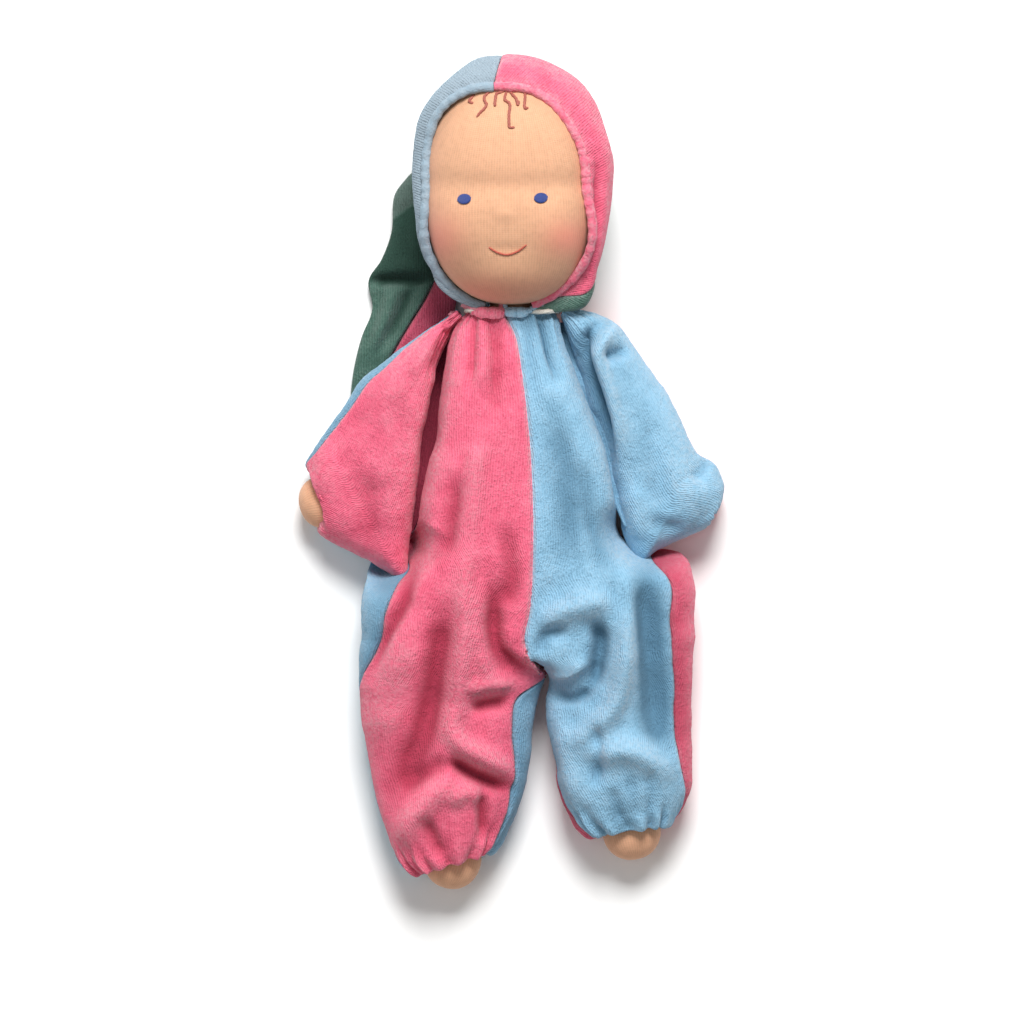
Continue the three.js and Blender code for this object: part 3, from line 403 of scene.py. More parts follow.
def speckle(tree, place, scale, detail, roughness=0.5):
    """Soft noise with that many lumps in a metre."""
    settings = {"Scale": scale, "Detail": detail, "Roughness": roughness}
    return add_node(tree, "ShaderNodeTexNoise", {"Vector": place}, **settings).outputs["Fac"]


def bands(tree, cloth_map, pitch, distortion, detail_scale=1.0, direction="X"):
    """Wavy bands across the cloth's map, at that pitch in metres."""
    settings = {"Scale": math.pi / 10 / pitch, "Distortion": distortion, "Detail": 2.0,
                "Detail Scale": detail_scale, "bands_direction": direction}
    return add_node(tree, "ShaderNodeTexWave", {"Vector": cloth_map}, **settings).outputs["Fac"]


def calculated(tree, operation, *values, **settings):
    """The result of a sum or a product of sockets and numbers."""
    node = add_node(tree, "ShaderNodeMath", dict(enumerate(values)), operation=operation, **settings)
    return node.outputs[0]


def overlaid(tree, share, under, over):
    """One colour laid over another by a share."""
    return add_node(tree, "ShaderNodeMix", {0: share, 6: under, 7: over}, data_type="RGBA").outputs[2]


def mesh_value(tree, name):
    """A value that the points of the mesh carry."""
    return add_node(tree, "ShaderNodeAttribute", attribute_name=name).outputs["Fac"]


def embossed(tree, height, strength, distance, *under):
    """The normal of a surface raised by a height of that many millimetres, over an embossing under it."""
    inputs = {"Height": height, **{"Normal": normal for normal in under}}
    return add_node(tree, "ShaderNodeBump", inputs, Strength=strength, Distance=distance * MM).outputs[0]


def velour(name, colour, wale):
    """Cotton velour: sheared loops of pile over a ribbed knit. Seen from above the pile is deep and
    saturated; seen from the side, and along hems and seams, its frosty tips show. The frost seen from the
    side is a painted sheen, and the frost on ridges is a painted highlight. Values of the mesh darken it
    with painted shade, and grey it: painted shade on the hood's left side, brushed pile on the top band of
    the hood's tip."""
    middle = sum(colour) / 3
    # Deep is the colour of the painted shade; shade and light are the ends of the random mottling.
    deep, shade = [c ** 1.3 * 0.5 for c in colour], [c ** 1.12 * 0.78 for c in colour]
    # The frost colour, of frosty pile tips, serves for the frost at hems and seams and for painted sheen
    # and highlight.
    frost, light = [mix(mix(c, middle, 0.3), 0.9, 0.16) for c in colour], [mix(c, 1.0, 0.1) for c in colour]
    material, tree, shader = new_material(
        name, 0.92, Specular_IOR_Level=0.1, Sheen_Weight=0.35, Sheen_Roughness=0.4, Sheen_Tint=rgba(light))
    place, cloth_map = coordinates(tree)
    nap = speckle(tree, place, 110, 3, 0.55)
    pile = speckle(tree, place, 820, 3, 0.7)
    ribs = bands(tree, cloth_map, wale, 2.2, 0.8)
    speck = speckle(tree, place, 620, 2)
    tone = calculated(tree, "ADD", nap, pile)
    ribbed = calculated(tree, "MULTIPLY_ADD", ribs, 0.24, tone)
    level = add_node(tree, "ShaderNodeMapRange", {"Value": ribbed}, **{"From Min": 0.72, "From Max": 1.56})
    base = ramp(tree, level.outputs[0], [(0.0, rgba(shade)), (0.5, rgba(colour)), (1.0, rgba(light))])
    edge = mesh_value(tree, "frost")
    # Painted sheen: the frost colour is laid on in specks where the surface turns away from the view.
    slope = add_node(tree, "ShaderNodeLayerWeight", Blend=0.42)
    grazing = ramp(tree, slope.outputs["Facing"], [(0.15, grey(0)), (0.75, grey(0.95))])
    rim = calculated(tree, "ADD", edge, grazing)
    tips = ramp(tree, speck, [(0.36, grey(0.2)), (0.62, grey(1))])
    tipped = calculated(tree, "MULTIPLY", rim, tips, use_clamp=True)
    frosted = overlaid(tree, tipped, base, rgba(frost))
    # Painted shade: a value of the mesh mixes in the deep colour.
    deepened = overlaid(tree, mesh_value(tree, "hollow"), frosted, rgba(deep))
    # A value of the mesh greys and darkens the cloth: painted shade on the hood's left side, brushed pile
    # on the top band of the hood's tip.
    faded = rgba([mix(c, middle, 0.7) for c in colour], 0.72)
    final = overlaid(tree, mesh_value(tree, "faded"), deepened, faded)
    tree.links.new(final, shader.inputs["Base Color"])
    rib_bump = embossed(tree, ribs, 0.5, 0.45)
    tree.links.new(embossed(tree, pile, 1.0, 0.8, rib_bump), shader.inputs["Normal"])
    return material


def tricot(name, colour, blush, wale):
    """Cotton tricot stretched over wool: fine upright wales of small stitches, a matt face, and blush
    rubbed in where the blush value of the mesh says."""
    material, tree, shader = new_material(
        name, 0.85, Specular_IOR_Level=0.15, Sheen_Weight=0.15, Sheen_Roughness=0.5,
        Subsurface_Weight=0.04, Subsurface_Radius=(0.004, 0.002, 0.001))
    place, cloth_map = coordinates(tree)
    wales = bands(tree, cloth_map, wale, 1.4, 1.6)
    rows = bands(tree, cloth_map, 0.8 * wale, 2.4, direction="Y")
    course = add_node(tree, "ShaderNodeMapRange", {"Value": rows}, **{"To Min": 0.65})
    stitches = calculated(tree, "MULTIPLY", wales, course.outputs[0])
    cloud = speckle(tree, place, 420, 4)
    tone = calculated(tree, "MULTIPLY_ADD", stitches, 0.44, cloud)
    base = ramp(tree, tone, [(0.25, rgba(colour, 0.86)), (0.55, rgba(colour)), (0.9, rgba(colour, 1.1))])
    final = overlaid(tree, mesh_value(tree, "blush"), base, rgba(blush))
    tree.links.new(final, shader.inputs["Base Color"])
    wale_bump = embossed(tree, wales, 0.3, 0.2)
    tree.links.new(embossed(tree, rows, 0.2, 0.15, wale_bump), shader.inputs["Normal"])
    return material


def yarn(name, colour, fibre, roughness):
    """Spun thread or wool: fibres of a fine size that catch the light in streaks."""
    material, tree, shader = new_material(name, roughness, Sheen_Weight=0.25, Sheen_Roughness=0.4)
    place = add_node(tree, "ShaderNodeTexCoord").outputs["Object"]
    hairs = speckle(tree, place, 1 / fibre, 3)
    base = ramp(tree, hairs, [(0.3, rgba(colour, 0.72)), (0.62, rgba(colour, 1.12))])
    tree.links.new(base, shader.inputs["Base Color"])
    tree.links.new(embossed(tree, hairs, 0.5, 0.2), shader.inputs["Normal"])
    return material


# Velours: the word for the colour and the colour.
VELOURS = {
    "velour_pink": ("Pink", "pink"),
    "velour_blue": ("Light blue", "blue"),
    "velour_green": ("Sea green", "green"),
}
# Yarns: the name, the colour, the size of the fibres in millimetres and the roughness.
YARNS = {
    "wool_fill": ("Carded sheep's wool", "wool", 0.5, 0.95),
    "thread_blue": ("Blue stranded cotton", "eye_thread", 0.3, 0.6),
    "thread_red": ("Red stranded cotton", "mouth_thread", 0.3, 0.6),
    "thread_brown": ("Reddish-brown stranded cotton", "hair_thread", 0.3, 0.6),
    "cord_ivory": ("Braided ivory cotton", "cord", 0.4, 0.6),
}
made_finishes = {}


def finish_of(slot):
    """The material of a slot of the record, made once."""
    if slot not in made_finishes:
        colours, sizes = bpy.context.scene.doll_colours, bpy.context.scene.doll_sizes
        if slot in VELOURS:
            tint, key = VELOURS[slot]
            finish = velour(f"{tint} sheared cotton velour", getattr(colours, key), sizes.wale)
        elif slot in YARNS:
            name, key, fibre, roughness = YARNS[slot]
            finish = yarn(name, getattr(colours, key), fibre * MM, roughness)
        else:
            finish = tricot("Knitted cotton tricot", colours.skin, colours.blush, sizes.stitch_wale)
        made_finishes[slot] = finish
    return made_finishes[slot]


# The suit. Each half of the body with its leg is one long tube of cloth from the neck to the ankle.

# A row has, in millimetres: the front and back middle across, and their place along the body; the outer
# side across and along; the lowest and highest point. Then how far the inner side is closed, from 0 to 1,
# and the two seams in degrees round the section.
LEFT_ROWS = [
    [-3.0, 0.9, 73.2, -21.4, 73.0, 14.6, 43.6, 0, 0, 180],
    [-2.4, 0.9, 71.6, -19.2, 71.6, 16.8, 41.2, 0, 0, 180],
    [-1.8, 0.9, 69.6, -19.0, 69.6, 16.8, 41.2, 0, 0, 180],
    [-0.5, 0.4, 66.8, -22.0, 66.8, 14.5, 43.5, 0, 0, 180],
    [2.6, 0.4, 60.0, -25.6, 60.0, 8.5, 46.0, 0, 0, 180],
    [4.6, 0.4, 49.6, -27.4, 49.6, 3.0, 48.0, 0, 0, 180],
    [6.9, 1.1, 32.0, -29.9, 32.0, 0.0, 49.6, 0, 0, 180],
    [9.0, 3.4, 10.5, -33.4, 10.5, 0.0, 50.0, 0, 0, 180],
    [10.0, 3.0, -11.0, -38.4, -11.0, 0.0, 50.0, 0, 0, 180],
    [10.2, 2.8, -28.0, -43.0, -25.0, 0.0, 49.6, 0, 0, 176],
    [9.7, 4.1, -44.0, -58.4, -36.0, 0.0, 49.0, 0, 0, 124],
    [9.2, 6.0, -53.0, -62.4, -47.0, 0.0, 48.4, 0, 0, 129],
    [8.2, 7.2, -61.0, -64.4, -57.5, 0.0, 47.6, 0, 0, 134],
    [6.4, 7.3, -70.0, -65.0, -70.0, 0.0, 46.4, 0, 0, 140],
    [8.0, 7.0, -78.6, -65.3, -79.5, 0.0, 44.6, 0.05, 0, 150],
    [13.2, 10.0, -83.6, -65.2, -88.0, 0.0, 42.6, 0.5, 0, 168],
    [15.2, 13.0, -87.0, -64.6, -95.0, 0.0, 41.2, 0.92, 4, 180],
    [12.6, 12.6, -95.0, -63.8, -103.0, 0.0, 40.0, 1, 40, 180],
    [10.2, 10.2, -110.0, -62.3, -118.5, 0.0, 39.0, 1, 41, 180],
    [9.2, 9.2, -125.0, -58.6, -136.4, 0.0, 37.6, 1, 36, 180],
    [5.0, 5.0, -142.0, -53.6, -154.5, 0.0, 35.4, 1, 32, 180],
    [-2.4, -2.4, -157.0, -48.2, -166.0, 0.2, 32.4, 1, 29, 182],
    [-7.6, -7.6, -162.4, -42.6, -171.4, 0.5, 29.8, 1, 27, 183],
    [-10.6, -10.6, -164.6, -38.6, -174.2, 1.4, 27.6, 1, 26, 184],
]
RIGHT_ROWS = [
    [-3.0, 0.9, 73.2, 23.2, 73.0, 14.6, 43.6, 0, 0, 180],
    [-2.4, 0.9, 71.6, 21.0, 71.6, 16.8, 41.2, 0, 0, 180],
    [-1.8, 0.9, 69.6, 20.8, 69.6, 16.8, 41.2, 0, 0, 180],
    [-0.5, 0.4, 66.8, 22.2, 66.8, 14.5, 43.5, 0, 0, 180],
    [2.6, 0.4, 60.0, 23.2, 60.0, 8.5, 46.0, 0, 0, 180],
    [4.6, 0.4, 49.6, 25.8, 49.6, 3.0, 48.0, 0, 0, 180],
    [6.9, 1.1, 32.0, 32.2, 32.0, 0.0, 49.6, 0, 0, 180],
    [9.0, 3.4, 10.5, 40.4, 10.5, 0.0, 50.0, 0, 0, 180],
    [10.0, 3.0, -11.0, 44.7, -11.0, 0.0, 50.0, 0, 0, 180],
    [10.2, 2.8, -28.0, 49.0, -28.0, 0.0, 49.6, 0, 0, 175],
    [9.7, 4.1, -44.0, 74.5, -33.0, 0.0, 48.4, 0, 0, 126],
    [9.2, 6.0, -53.0, 79.6, -46.0, 0.0, 47.6, 0, 0, 136],
    [8.2, 7.2, -61.0, 79.4, -61.0, 0.0, 46.8, 0, 0, 137],
    [6.4, 7.3, -70.0, 79.6, -70.0, 0.0, 45.6, 0, 0, 138],
    [8.0, 7.0, -78.6, 79.4, -79.5, 0.0, 44.2, 0.05, 0, 140],
    [15.6, 14.0, -83.2, 79.2, -88.0, 0.0, 42.6, 0.55, 0, 141],
    [17.6, 17.6, -87.6, 79.0, -95.0, 0.0, 41.2, 0.95, 0, 142],
    [15.6, 15.6, -97.0, 79.0, -103.0, 0.0, 40.0, 1, 0, 142],
    [16.0, 16.0, -111.0, 78.9, -116.0, 0.0, 39.0, 1, 2, 144],
    [19.4, 19.4, -124.6, 78.4, -128.0, 0.0, 37.6, 1, 6, 150],
    [21.9, 21.9, -138.0, 77.0, -138.4, 0.0, 35.6, 1, 12, 164],
    [27.2, 27.2, -149.6, 73.8, -145.6, 0.2, 32.6, 1, 15, 174],
    [32.8, 32.8, -155.2, 70.6, -150.0, 0.5, 30.0, 1, 14, 180],
    [37.0, 37.0, -158.4, 67.6, -153.0, 1.4, 27.8, 1, 12, 184],
]


def half_ring(rows, theta):
    """Points of a half body's section at angles that start at its inner side and run over the front to
    the outer side and back under. Across, a signed power of the cosine; in height, the same power of the
    sine, which stays at its full value over the inner half where that side isn't closed."""
    columns = [rows[:, i:i + 1] * (MM if i < 7 else 1) for i in range(8)]
    front_x, back_x, inner_y, outer_x, outer_y, low, high, closed = columns
    turn = np.mod(theta, 2 * math.pi)
    front = (turn < math.pi) & ~((theta >= 2 * math.pi - 1e-9) & (closed < 0.5))
    inner_x = np.where(front, front_x, back_x)
    across = signed_power(np.cos(theta), 2 / ROUNDNESS)
    height = np.abs(np.sin(theta)) ** (2 / ROUNDNESS)
    height = np.where(across > 0, mix(1, height, np.clip(closed, 0, 1)), height)
    x = (inner_x + outer_x) / 2 + (inner_x - outer_x) / 2 * across
    y = (inner_y + outer_y) / 2 + (inner_y - outer_y) / 2 * across
    z = (low + high) / 2 + np.where(front, 1, -1) * (high - low) / 2 * height
    return np.stack(np.broadcast_arrays(x, y, z), axis=-1)


# Folds of the suit's front: the points of each in plan, its width and its height, in millimetres.
LEFT_FOLDS = [
    ([(-18.0, -20), (-19.5, -50), (-21.9, -82), (-25.5, -104), (-26.9, -116.0)], 5.6, 5.6),
    ([(-31.0, -107.0), (-20.0, -117.0), (-8.0, -123.4), (5.1, -132.7)], 4.6, 5.2),
    ([(-27.0, -121.5), (-15.2, -129.3), (5.0, -137.0)], 3.2, -7.6),
    ([(-6.5, -42), (-7.2, -68.2), (-2.0, -80.0), (11.9, -86.1)], 4.6, -7.6),
    ([(-12.5, -44), (-11.8, -70), (-9.4, -93)], 3.4, 2.8),
    ([(-19.4, -94.0), (-10.2, -90.3), (4.1, -89.5)], 3.6, 3.6),
    ([(-18.7, -101.2), (-8.5, -98.8), (1.0, -98.2)], 3.0, -4.8),
    ([(-25.8, -50), (-29.0, -74), (-34.6, -101.5), (-44.1, -124.9), (-57.6, -150)], 7.2, -7.0),
    ([(-26.8, -121.2), (-35.0, -129), (-50, -134)], 4.6, -3.6),
    ([(-21.8, -127.2), (-38.8, -144.4), (-49.3, -163.0)], 6.0, 5.0),
    ([(-42, -56), (-51, -92), (-55, -122)], 9.0, 4.2),
    ([(-12.1, -134), (-10.2, -160)], 2.8, -4.6),
    ([(-27.6, -143.3), (-18.3, -137.0), (-11.1, -142.3)], 3.6, 3.4),
    ([(-38, -146), (-29, -168)], 3.2, -4.0),
    ([(-40, -34), (-46.5, -55), (-54, -70), (-62, -90)], 3.6, -5.0),
    ([(-12.8, 24), (-15.0, -2.0), (-17.5, -34)], 4.8, 3.0),
    ([(-2.6, -18), (1.5, -44), (-3.2, -58)], 4.4, -4.2),
    ([(-23.6, 4), (-27.7, -40)], 5.4, -3.8),
    ([(-8, 73), (-6, 52), (-7, 20)], 2.8, -2.6),
    ([(-14.5, 73), (-18, 34)], 2.6, -2.6),
    ([(-19, 70), (-25, 30), (-31, -10), (-38, -50)], 4.4, 2.4),
    ([(-11.5, 70), (-11.5, 34)], 3.0, 1.8),
]
RIGHT_FOLDS = [
    ([(12.6, -68), (22.3, -58.6), (34.0, -55.4), (45, -52)], 6.2, 5.8),
    ([(9.8, -80.6), (15.6, -69.2), (26.7, -67.4)], 3.2, -4.6),
    ([(35.6, -61.0), (39.0, -72.0), (37.6, -84), (33, -93)], 3.6, -7.6),
    ([(15.9, -84.0), (25.1, -84.6), (33.7, -80.0)], 3.0, 4.2),
    ([(15.9, -93.4), (26.1, -96.2), (37.7, -91)], 3.0, -4.8),
    ([(51.4, -36), (51.6, -66), (48.3, -92), (39.6, -106.7), (22.4, -119.3)], 5.0, 6.2),
    ([(56.0, -36.0), (61.0, -66.1), (64.0, -97.0), (67.7, -124.5)], 8.0, -9.6),
    ([(32.2, -118.5), (42.0, -119.6), (54.0, -119.8), (74.4, -133.9)], 5.6, 5.8),
    ([(36.5, -104), (38.5, -122), (36, -136)], 3.2, -4.4),
    ([(12.6, 73.1), (15.3, 61.6), (22.0, 38)], 2.8, -4.6),
    ([(20.4, 72), (27.4, 44.7), (36.4, 18.4), (43.2, -8.0), (47.0, -25.7), (51.0, -46)], 4.2, 3.2),
    ([(20, 30), (25, -8), (22, -46)], 6.4, -3.4),
    ([(31, 12), (37, -20), (42, -46)], 5.4, -3.4),
    ([(7.5, 73), (9.6, 30)], 2.6, -2.4),
    ([(21, -103), (24, -122), (31, -146)], 4.2, 3.6),
    ([(44, -134), (48, -152)], 3.2, -2.0),
    ([(52, -128), (55, -150)], 3.0, -1.8),
    ([(60, -126), (62, -148)], 3.0, -1.8),
]


# Where a sleeve lies on the hip and presses it flat: the points in plan, and the width, in millimetres.
LEFT_PRESSED = ([(-40, -18), (-47, -30), (-55, -35), (-70, -36)], 10.5)
RIGHT_PRESSED = ([(44, -4), (52, -22), (62, -27), (76, -24), (92, -20)], 10.5)
PRESSED_DEPTH = 0.82  # share of the height that a hip loses under a sleeve
NECK_PLEAT, ANKLE_PLEAT, HEM_FALL, RUFFLE = 1.1 * MM, 1.7 * MM, 2.6 * MM, 5.4 * MM
BUMPS = ((0.12, 2), (0.07, 0.9))  # height and size of the pile's own unevenness, in millimetres
LOWEST = 0.3 * MM  # cloth on the floor doesn't sink into it


def flattened(x, y, pressed_flat):
    """Share from 0 to 1 by which the sleeve lying on it flattens the hip: a bell round its line, which
    fades out towards the chest and the middle of the body."""
    line, width = pressed_flat
    near = np.clip(1.25 * fold_height(x, y, [(line, width, 1 / MM)]), 0, 1)
    near = near * ease((-(y + 8 * MM)) / (12 * MM))
    return near * ease((np.abs(x - 8 * MM) - 30 * MM) / (10 * MM))


def panel_grid(rows, seams, front, columns, folds):
    """A panel between its two seams, which are given in degrees, on half rings through the rows: its
    points and unit normals, the angle, the place along it from 0 to 1, the column, the distance run
    across and that to the nearer edge, its folds as a lift that fades towards the back, and the middle of
    each section."""
    count = len(rows)
    start, end = np.radians(seams[:, :1]), np.radians(seams[:, 1:])
    if not front:
        start, end = end, 2 * math.pi + start
    step = 1 / (columns - 1)
    share = np.linspace(-step, 1 + step, columns + 2)[None, :]
    theta = mix(start, end, share)
    theta = np.where(rows[:, 7:8] < 0.5, np.clip(theta, 0, 2 * math.pi), theta)
    points = half_ring(rows, theta)
    middle = sum(half_ring(rows, np.full((count, 1), turn * math.pi)) for turn in (0.5, 1.5)) / 2
    normal = grid_normals(points, middle)[:, 1:-1]
    points, theta = points[:, 1:-1], theta[:, 1:-1]
    x, y = points[..., 0], points[..., 1]
    run = arc_lengths(points, 1)
    edge = np.minimum(run, run[:, -1:] - run)
    facing = np.maximum(np.sin(theta), 0) ** 0.6
    return SimpleNamespace(
        points=points, normal=normal, middle=middle, theta=theta, x=x, y=y, run=run, edge=edge,
        facing=facing, inland=1 - bell(edge, 3 * MM), lift=fold_height(x, y, folds) * facing,
        cross=share[:, 1:-1] * columns, place=np.linspace(0, 1, count)[:, None])


def pleats(grid, waves, stray, stretch, size, seed):
    """Pleats across a panel: the sine of the column, which strays by noise along the panel."""
    return np.sin(grid.cross * waves + stray * noise(grid.cross, stretch * grid.place, size, seed))


def panel_piece(name, grid, points, frost, hollow, material):
    """The velour piece of a panel, kept above the floor, with its frost and painted highlight and its
    painted shade.
    """
    points[..., 2] = np.maximum(points[..., 2], LOWEST)
    thickness = bpy.context.scene.doll_sizes.velour
    return cloth_piece(name, points, thickness, grid.middle, material, {"frost": frost, "hollow": hollow})


def suit_panel(name, rows, folds, pressed_flat, front, material, seed):
    """One long panel: its grid on rows splined from the table, raised by the folds, gathered into pleats
    at the neck and the ankle, with a ruffle over the chest, crumpled a little, and drawn in along its
    edges."""
    table = spline(rows, 300)
    grid = panel_grid(table, table[:, 8:10], front, 104, folds)
    place, x, y = grid.place, grid.x, grid.y
    far_run = grid.run[:, -1:] - grid.run
    inner_run, outer_run = (grid.run, far_run) if front else (far_run, grid.run)
    middle_seam = table[:, 7:8] < 0.5
    joined = 1 - 0.9 * bell(inner_run, 5 * MM) * middle_seam
    neck = np.exp(-np.abs(place - 0.07) / 0.06) * mix(0.25, 1.0, ease((place - 0.06) / 0.06))
    ankle = ease((place - 0.86) / 0.1) * (1 - 0.6 * ease((place - 0.955) / 0.045))
    gathers = NECK_PLEAT * neck * pleats(grid, 0.5, 2.2, 8, 9.0, seed)
    gathers = gathers + ANKLE_PLEAT * ankle * pleats(grid, 0.38, 2.6, 6, 9.0, seed + 1)
    lift = grid.lift + gathers * grid.inland
    lift = lift - HEM_FALL * ease((place - 0.972) / 0.028) ** 2
    ruffle = np.exp(-(((x + 2.5 * MM) / (12.5 * MM)) ** 4) - ((y - 72.6 * MM) / (4.2 * MM)) ** 2)
    lift = crumpled(lift, x, y, seed + 2, (0.8, 17), (0.45, 7))
    lift = crumpled(lift * joined + RUFFLE * grid.facing * ruffle, x, y, seed + 4, *BUMPS)
    dip = 0.8 * bpy.context.scene.doll_sizes.seam_dip * bell(grid.edge, 1.0 * MM)
    points = grid.points + grid.normal * (lift - dip)[..., None]
    hem = bell(1 - place, 0.016) + bell(place, 0.008)
    # Frost along the seams and hems, and painted highlight on the ridges of the folds.
    frost = np.clip(0.8 * bell(grid.edge, 1.5 * MM) + hem + np.clip(lift / (8 * MM), 0, 0.4), 0, 1)
    flat = flattened(x, y, pressed_flat)
    points[..., 2] *= 1 - PRESSED_DEPTH * flat
    # Painted shade: darker in the valleys of the folds and on the hip where the sleeve lies over it.
    hollow = -lift / (5 * MM) + 0.35 * flat
    # Painted shade on the back panel's upper part near its seams, where it faces sideways.
    if not front:
        side_shade = bell(outer_run, 12 * MM) + bell(inner_run, 14 * MM) * ~middle_seam
        hollow = hollow + 0.5 * side_shade * ease((np.sin(grid.theta) + 0.75) / 0.3)
    return panel_piece(name, grid, points, frost, np.clip(hollow, 0, 0.92), material)


def suit_slot(half, side):
    """The suit's two colours, which change places from side to side and from front to back."""
    return "velour_pink" if (half == "front") == (side == "left") else "velour_blue"


class DOLL_OT_suit(bpy.types.Operator):
    """Four long velour panels, front and back, each from the neck over the hip to the ankle"""
    bl_idname = "doll.suit"
    bl_label = "Suit panels"

    def execute(self, context):
        sides = [
            ("left", LEFT_ROWS, LEFT_FOLDS, LEFT_PRESSED, 10),
            ("right", RIGHT_ROWS, RIGHT_FOLDS, RIGHT_PRESSED, 20),
        ]
        for half in ("front", "back"):
            for side, rows, folds, pressed_flat, seed in sides:
                name, slot = f"{half}_panel_{side}", suit_slot(half, side)
                piece = suit_panel(name, rows, folds, pressed_flat, half == "front", finish_of(slot), seed)
                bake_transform(piece)
                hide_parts(f"suit_{half}_{side}", f"{side}_leg_{half}")
        return {"FINISHED"}


# The sleeves. A row has its outer and inner point in plan, its lowest and highest point, and its seams in
# degrees round the section.
LEFT_SLEEVE = [
    [-22.6, 71.4, -20.9, 68.6, 20, 38.0, -30, 162],
    [-30.5, 66.2, -25.2, 61.6, 16, 38.5, -30, 161],
    [-38.6, 60.8, -32.0, 45.0, 11, 38.5, -30, 158],
    [-50.0, 52.3, -37.2, 23.0, 9, 38.0, -30, 155],
    [-62.0, 43.2, -39.8, -1.0, 8, 37.0, -30, 153],
    [-70.0, 32.6, -42.0, -22.0, 8, 35.5, -25, 156],
    [-76.0, 24.0, -43.9, -35.0, 7, 34.0, -20, 159],
    [-81.6, 16.2, -45.2, -46.0, 4, 32.5, -15, 162],
    [-85.4, 10.4, -55.0, -40.4, 2, 31.0, -12, 165],
    [-87.2, 7.4, -67.4, -33.4, 0.6, 28.5, -10, 168],
    [-88.2, 5.0, -79.0, -28.0, 0.5, 26.0, -8, 171],
    [-88.4, 3.0, -84.8, -23.0, 0.8, 24.0, -6, 173],
]
RIGHT_SLEEVE = [
    [24.0, 72.4, 22.8, 69.4, 20, 38.0, -30, 182],
    [33.0, 70.8, 24.6, 62.0, 14, 39.5, -30, 186],
    [40.0, 69.0, 27.6, 50.0, 9, 40.5, -30, 188],
    [47.0, 64.6, 32.6, 34.0, 5, 39.5, -30, 188],
    [54.6, 55.2, 38.2, 19.0, 2, 37.5, -30, 188],
    [61.9, 44.0, 42.6, 4.0, 0.8, 36.0, -25, 188],
    [69.7, 32.0, 46.0, -11.4, 0.6, 34.5, -20, 188],
    [76.4, 18.8, 49.4, -26.0, 0.6, 33.5, -12, 188],
    [80.6, 10.0, 55.6, -38.4, 0.6, 32.5, -6, 188],
    [88.6, 5.4, 63.0, -33.2, 0.8, 31.0, -4, 188],
    [92.6, -2.4, 75.0, -28.0, 1.6, 28.5, -4, 188],
    [92.0, -10.4, 84.6, -23.6, 4, 25.5, -4, 186],
    [89.0, -15.0, 86.4, -20.0, 9, 20.0, 0, 182],
]
LEFT_SLEEVE_FOLDS = [
    ([(-24, 66), (-44, 44), (-60, 20)], 7.0, 2.4),
    ([(-29, 54), (-41, 20), (-46, -26)], 4.0, 2.6),
    ([(-24, 68), (-30, 56), (-36, 40)], 2.6, -3.0),
    ([(-64, 2), (-57, -34)], 7.0, -3.0),
    ([(-76, 12), (-85, -10)], 4.6, 2.2),
    ([(-48, 24), (-52, -6), (-51, -30)], 6.0, 2.0),
    ([(-56, 40), (-72, 16)], 5.0, -1.2),
]
RIGHT_SLEEVE_FOLDS = [
    ([(42.6, 69), (34.5, 59.0), (31.6, 52.4), (34.1, 42.7), (40.4, 24.8), (44, 0)], 3.4, -11.0),
    ([(48.7, 64.6), (39.8, 59.0), (37.2, 51.6), (41.0, 39.0), (47, 20), (49.6, -8)], 3.6, 5.2),
    ([(40.1, 50.4), (51.8, 55.0)], 2.6, -4.6),
    ([(54, -4), (57, -30)], 4.6, 2.4),
    ([(60, 34), (74, -2), (87, -16)], 9.0, 3.4),
    ([(87, 10), (79, -4)], 3.0, -3.4),
    ([(58, -20), (76, -24)], 4.0, -2.6),
    ([(57, 34), (63, 4), (62, -18)], 6.0, -2.6),
]


# Strips of cloth in the bend under each arm, which lie against the sleeve and move with it, painted dark
# with shade because the bend lies in shadow. A row has, in millimetres, its place along the body, its place
# across at the body and at the arm, and its height.
LEFT_UNDERARM = [
    (62, -23.0, -26.0, 20), (57, -23.6, -31.0, 17), (52, -24.4, -35.0, 14), (45, -25.4, -39.6, 10),
    (36, -26.6, -43.0, 9), (23, -28.8, -46.0, 9), (-1, -34.4, -48.0, 9), (-18, -39.6, -48.0, 9),
    (-28, -44.6, -47.6, 9),
]
RIGHT_UNDERARM = [
    (66, 19.6, 24.0, 27), (60, 20.0, 29.6, 27), (52, 21.4, 34.0, 27), (42, 24.6, 37.4, 27),
    (30, 29.4, 41.0, 27), (12, 37.4, 46.0, 27), (-8, 44.2, 49.6, 27), (-22, 50.6, 52.6, 27),
]
STRIP_SAG, STRIP_THICKNESS = 1.2 * MM, 1.2 * MM
SLEEVE_PLEAT, CUFF_PLEAT, CUFF_FALL = 0.9 * MM, 0.6 * MM, 1.6 * MM


def underarm(name, rows, hollow, material):
    """The strip of cloth under an arm: a sheet between its two edges that sags between them in a
    parabola."""
    table = spline(rows, 90) * MM
    share = np.linspace(0, 1, 24)[None, :]
    x = mix(table[:, 1:2], table[:, 2:3], share)
    y = table[:, 0:1] + 0 * share
    sag = 4 * share * (1 - share)
    z = table[:, 3:4] - STRIP_SAG * sag + 0.3 * MM * noise(x, y, 5 * MM, 140)
    points = np.stack([x, y, z], axis=-1)
    below = points - np.array([0, 0, 5 * MM])
    # Painted shade: the whole strip is darkened evenly, since it lies in the shaded bend.
    values = {"hollow": np.full(x.shape, hollow)}
    return cloth_piece(name, points, STRIP_THICKNESS, below, material, values)


def oval_rows(table):
    """Rows of outer and inner points and heights in the order that a half ring takes, closed on both
    sides."""
    return np.hstack([table[:, [2, 2, 3, 0, 1, 4, 5]], np.ones((len(table), 1))])


